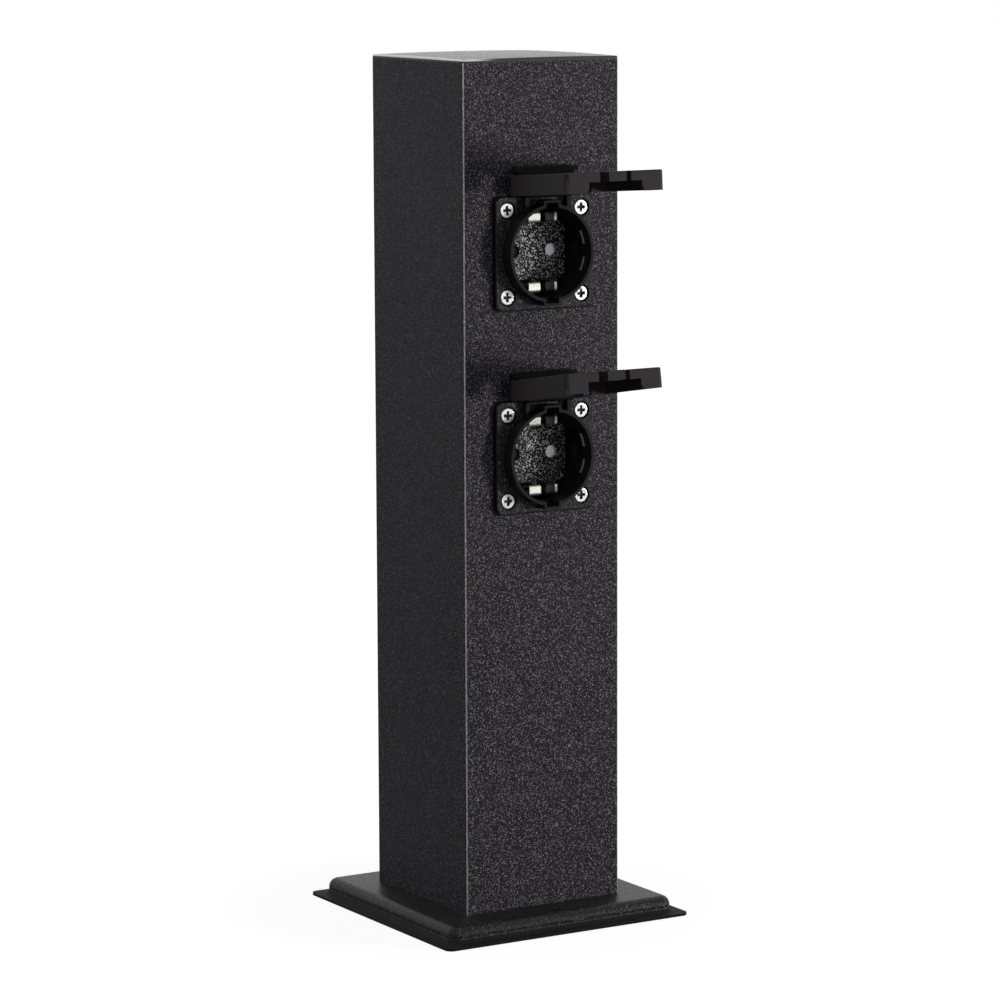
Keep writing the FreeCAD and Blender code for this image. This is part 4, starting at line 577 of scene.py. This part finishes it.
def clip_metal(name):
    metal = Finish(name)
    across = metal.axes()[0]
    cloud = metal.grain(1.2, 3.0, 0.6)
    bright = metal.blend(cloud, colour(0.55, 0.53, 0.46), colour(0.86, 0.85, 0.78))
    # painted shade on the far leg, up to its bright end
    far_leg_shade = metal.step(across, *FAR_LEG_SHADE_START) * metal.step(across, *FAR_LEG_SHADE_END, 1.0, 0.0)
    return metal.surface(
        base_color=metal.blend(far_leg_shade, bright, colour(0.008, 0.0075, 0.006)),
        roughness=cloud * 0.2 + 0.22 + far_leg_shade * 0.3,
        metallic=0.75 - far_leg_shade * 0.5,
        normal=metal.relief(cloud, 0.01),
    )


clip_nickel = clip_metal("clip_nickel")

# %% [markdown]
# ## Screw heads
# The cross recess of a screw is painted dark, as painted shade with some grime. The four screws of a
# socket stand at the corners of a 38 mm square, so folding the coordinates round the socket lets one
# mask serve all of them. The depth behind the head's face picks out the recess, and blots along the
# two arms of the cross spread the painted shade and wear over its edges.

# %% Screws with dark recesses
RECESS_DEPTH = -0.04145  # what lies deeper than the head's face
RECESS_RADIUS = 0.0022
CROSS_MARK_RADIUS = 0.0021


def screw_metal(name):
    metal = Finish(name)
    x, y, up, radius = socket_place(metal)
    across, along, apart = screw_place(metal, x, up)
    blots = metal.grain(1.3, 3.0, 0.6)
    arm = metal.math("MINIMUM", abs(across), abs(along))
    # painted shade with some wear and grime along the arms and in the recess
    wear_and_painted_light = (arm < blots * 0.0016 - 0.0001) * (apart < CROSS_MARK_RADIUS)
    sunk = (y > RECESS_DEPTH) * (apart < RECESS_RADIUS)
    grime_and_shade = metal.math("MAXIMUM", wear_and_painted_light, sunk)
    bright = metal.blend(blots, colour(0.90, 0.89, 0.86), colour(0.99, 0.98, 0.96))
    return metal.surface(
        base_color=metal.blend(grime_and_shade, bright, grey(0.02)),
        roughness=blots * 0.2 + 0.16 + grime_and_shade * 0.3,
        metallic=0.85 - grime_and_shade * 0.75,
        normal=metal.relief(blots, 0.01),
    )


screw_nickel = screw_metal("screw_nickel")

# %% [markdown]
# ## Rubber and wires
# Gaskets are matt rubber with a dusting of chalk.

# %% Rubber


def rubber(name):
    skin = Finish(name)
    bloom = skin.step(skin.grain(3.0, 3.0), 0.4, 0.8)
    return skin.surface(
        base_color=skin.blend(bloom, grey(0.010), grey(0.028)),
        roughness=0.75,
        normal=skin.relief(skin.grain(0.4), 0.03),
    )


black_rubber = rubber("black_rubber")

# %% [markdown]
# The wires have glossy insulation: brown, blue, and green with a yellow stripe. A sine of the three
# coordinates added together makes the stripe, which crosses a wire at a slant wherever it runs.

# %% Wire insulation
STRIPE_TURNS = 900.0  # radians of the sine to a metre
STRIPE_ABOVE = 0.35  # the stripe is where the sine is greater


def insulation(name, tone, stripe=None):
    skin = Finish(name)
    base = skin.blend(skin.grain(6.0), tone, toned(tone, 0.8))
    if stripe is not None:
        x, y, z = skin.axes()
        band = skin.math("SINE", (x + y + z) * STRIPE_TURNS) > STRIPE_ABOVE
        base = skin.blend(band, base, stripe)
    return skin.surface(
        base_color=base, roughness=0.3, normal=skin.relief(skin.grain(0.8), 0.01)
    )


live_skin = insulation("live_skin", colour(0.20, 0.08, 0.03))
neutral_skin = insulation("neutral_skin", colour(0.02, 0.12, 0.45))
earth_skin = insulation("earth_skin", colour(0.05, 0.35, 0.06), colour(0.75, 0.65, 0.05))

# %% [markdown]
# ## Dressing the solids
# The record names a material slot for every solid, so one table from slot to finish dresses them
# all. Only the flange screws and the earth clips need a finish of their own, found by their names.

# %% Give every solid its finish
FINISHES = {
    "post_coat": post_coat,
    "cap_coat": cap_coat,
    "base_coat": base_coat,
    "black_plastic": housing_plastic,
    "lid_plastic": lid_plastic,
    "insert_plastic": insert_plastic,
    "grey_plastic": shutter_plastic,
    "white_plastic": block_plastic,
    "black_rubber": black_rubber,
    "nickel": nickel,
    "zinc_steel": zinc,
    "spring_steel": spring_steel,
    "brass": brass,
    "live_wire": live_skin,
    "neutral_wire": neutral_skin,
    "earth_wire": earth_skin,
}
SPECIAL = {"flange_screws": screw_nickel, "earth_clip": clip_nickel}
slots = {entry["node"]: entry["material_slot"] for entry in record["subparts"]}


def dress(solid, material):
    solid.data.materials.clear()
    solid.data.materials.append(material)


for name, solid in frame["nodes"].items():
    own = [finish for ending, finish in SPECIAL.items() if name.endswith(ending)]
    dress(solid, own[0] if own else FINISHES[slots[name]])
print("dressed", len(frame["nodes"]), "solids")

# %% [markdown]
# ## Shutter springs
# A small coil spring holds each shutter down, and the shutter squeezes it against the roof of its
# chamber as a plug goes in. A solid from the CAD model can't get shorter, so a coil of the same size
# takes its place, made from rings along a helix.

# %% How a spring is wound
WIRE = 0.00018  # radius of the wire
TURNS = 7
RINGS_A_TURN = 20
SIDES = 8


def coil_points(middle, bottom, reach, rise):
    """Rings of points round a wire that climbs in a helix."""
    rings = TURNS * RINGS_A_TURN
    points = []
    for ring in range(rings + 1):
        angle = math.tau * ring / RINGS_A_TURN
        outward = Vector((math.cos(angle), math.sin(angle), 0.0))
        centre = Vector((middle.x, middle.y, bottom + rise * ring / rings)) + outward * reach
        for side in range(SIDES):
            turn = math.tau * side / SIDES
            up = Vector((0.0, 0.0, math.sin(turn)))
            points.append(centre + WIRE * (math.cos(turn) * outward + up))
    return points


def coil_faces():
    """Squares between each ring and the next, and a cap on either end of the wire."""
    last = TURNS * RINGS_A_TURN * SIDES
    faces = [tuple(range(SIDES)), tuple(range(last + SIDES - 1, last - 1, -1))]
    for ring in range(0, last, SIDES):
        for side in range(SIDES):
            first = ring + side
            second = ring + (side + 1) % SIDES
            faces.append((first, first + SIDES, second + SIDES, second))
    return faces


def coil(name, low, high):
    """A spring that stands upright and fills the box between two corners."""
    reach = (high.x - low.x) / 2 - WIRE
    rise = high.z - low.z - 2 * WIRE
    mesh = bpy.data.meshes.new(name)
    mesh.from_pydata(coil_points((low + high) / 2, low.z + WIRE, reach, rise), [], coil_faces())
    mesh.shade_smooth()
    spring = bpy.data.objects.new(name, mesh)
    bpy.context.scene.collection.objects.link(spring)
    dress(spring, spring_steel)
    return spring


print("a spring has", len(coil_faces()), "faces")

# %% [markdown]
# Each spring fills the box of the solid that it stands in for and hangs from the post's body, and the
# solid is hidden.

for place in ("upper", "lower"):
    node = f"{place}_shutter_spring"
    low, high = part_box(node)
    spring = coil(f"{place}_coil_spring", low, high)
    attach(spring, "post_body")
    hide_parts(node)
    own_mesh(spring)

# %% [markdown]
# ## Camera
# The photograph was taken with a long lens from the left of the sockets and a little above them. The
# edges of the post, the flanges and the base fix the camera's place and turn. Three directions make
# its matrix: to its right, upward, and behind it.

# %% Set the camera
TURN, RISE, ROLL = -0.5437, 0.1459, -0.0040  # radians
LENS = 149.94  # mm, for a sensor 36 mm wide
STAND = (-0.95985, -1.59138, 0.46004)

behind = Vector(
    (math.sin(TURN) * math.cos(RISE), -math.cos(TURN) * math.cos(RISE), math.sin(RISE))
)
level = Vector((math.cos(TURN), math.sin(TURN), 0.0))
above = behind.cross(level)
right = level * math.cos(ROLL) + above * math.sin(ROLL)
upward = above * math.cos(ROLL) - level * math.sin(ROLL)
pose = Matrix((right, upward, behind)).transposed().to_4x4()
pose.translation = STAND

camera = bpy.data.objects.new("camera", bpy.data.cameras.new("camera"))
bpy.context.scene.collection.objects.link(camera)
camera.data.sensor_width = 36.0
camera.data.lens = LENS
camera.data.clip_end = 20.0
camera.matrix_world = pose
bpy.context.scene.camera = camera
print("camera at", [round(v, 3) for v in pose.translation])

# %% [markdown]
# ## Studio
# The background is pure white. Its white comes from the colour that camera and mirror rays see, not
# from more light on the post, so the dark coat keeps its tone. The floor is a diffuse surface to all
# other rays, and where the camera sees it the white is added to that, a little less round the base.
# There the floor still takes the post's soft shadow. Under the base it is painted black, as the shade
# that lies there, so that nothing shines through the anchor holes.

# %% Floor
FLOOR_REACH = 6.0
SHADE_ROUND_BASE = 0.08, 0.20  # distance from the middle, from the shade to pure white
UNDER_BASE = 0.060  # half width of the black square


def floor_mesh():
    mesh = bpy.data.meshes.new("floor")
    corners = [(-1, -1), (1, -1), (1, 1), (-1, 1)]
    mesh.from_pydata([(x * FLOOR_REACH, y * FLOOR_REACH, 0) for x, y in corners], [], [(0, 1, 2, 3)])
    return mesh


def floor_white(name):
    look = Finish(name)
    away = look.node("ShaderNodeVectorMath", {"operation": "LENGTH"}, {0: look.place}, out="Value")
    level = look.blend(look.step(away, *SHADE_ROUND_BASE), grey(0.90), grey(1.0))
    x, y, z = look.axes()
    # painted shade: the floor is black under the base
    level = look.blend(square_distance(look, x, abs(y)) < UNDER_BASE, level, grey(0.0))
    matt = look.node("ShaderNodeBsdfDiffuse", {}, {"Color": grey(0.8)})
    white = look.node("ShaderNodeEmission", {}, {"Color": level, "Strength": 1.0})
    dim = look.node("ShaderNodeEmission", {}, {"Color": grey(1.0), "Strength": 0.28})
    seen = look.node("ShaderNodeAddShader", {}, {0: matt, 1: white})
    plain = look.node("ShaderNodeMixShader", {}, {0: look.rays("Camera"), 1: matt, 2: seen})
    look.end(look.node("ShaderNodeMixShader", {}, {0: look.rays("Glossy"), 1: plain, 2: dim}))
    return look.material


floor = bpy.data.objects.new("floor", floor_mesh())
bpy.context.scene.collection.objects.link(floor)
floor.data.materials.append(floor_white("floor_white"))
print("floor", 2 * FLOOR_REACH, "m wide")

# %% [markdown]
# The world is white to the camera and in reflections, and lights the post only faintly.

# %% Surroundings
FAINT = 0.08


def studio_world(name):
    world = bpy.data.worlds.new(name)
    sky = Wiring(world, "ShaderNodeOutputWorld")
    seen = sky.math("MAXIMUM", sky.rays("Camera"), sky.rays("Glossy"))
    strength = sky.node("ShaderNodeMapRange", {}, {"Value": seen, "To Min": FAINT, "To Max": 1.0})
    sky.end(sky.node("ShaderNodeBackground", {}, {"Color": grey(1.0), "Strength": strength}))
    return world


bpy.context.scene.world = studio_world("studio")
print("world lights the post at", FAINT)

# %% [markdown]
# ## Lamps
# The key lamp is small and stands low on the right, so the shadows of the lids are crisp and fall to
# the left and slightly up. A weak lamp far to the left keeps that side of the post readable, and a
# third in front lights the faces of the lids.

# %% Hang the lamps
TARGET = Vector((0.0, 0.0, 0.2))


def lamp(name, spot, size, power, tone=(1.0, 1.0, 1.0)):
    light = bpy.data.lights.new(name, "AREA")
    light.shape = "SQUARE"
    light.size = size
    light.energy = power
    light.color = tone
    holder = bpy.data.objects.new(name, light)
    bpy.context.scene.collection.objects.link(holder)
    holder.location = spot
    holder.rotation_euler = (TARGET - Vector(spot)).to_track_quat("-Z", "Y").to_euler()
    print("lamp", name, "of", power, "W")


lamp("key", (1.25, -1.15, 0.16), 0.28, 8.5)
lamp("edge", (-1.7, -1.0, 0.05), 0.3, 0.33, (0.95, 0.84, 1.08))
lamp("front", (-0.4, -2.2, 0.4), 0.5, 1.4)
bpy.context.scene.view_settings.view_transform = "Standard"
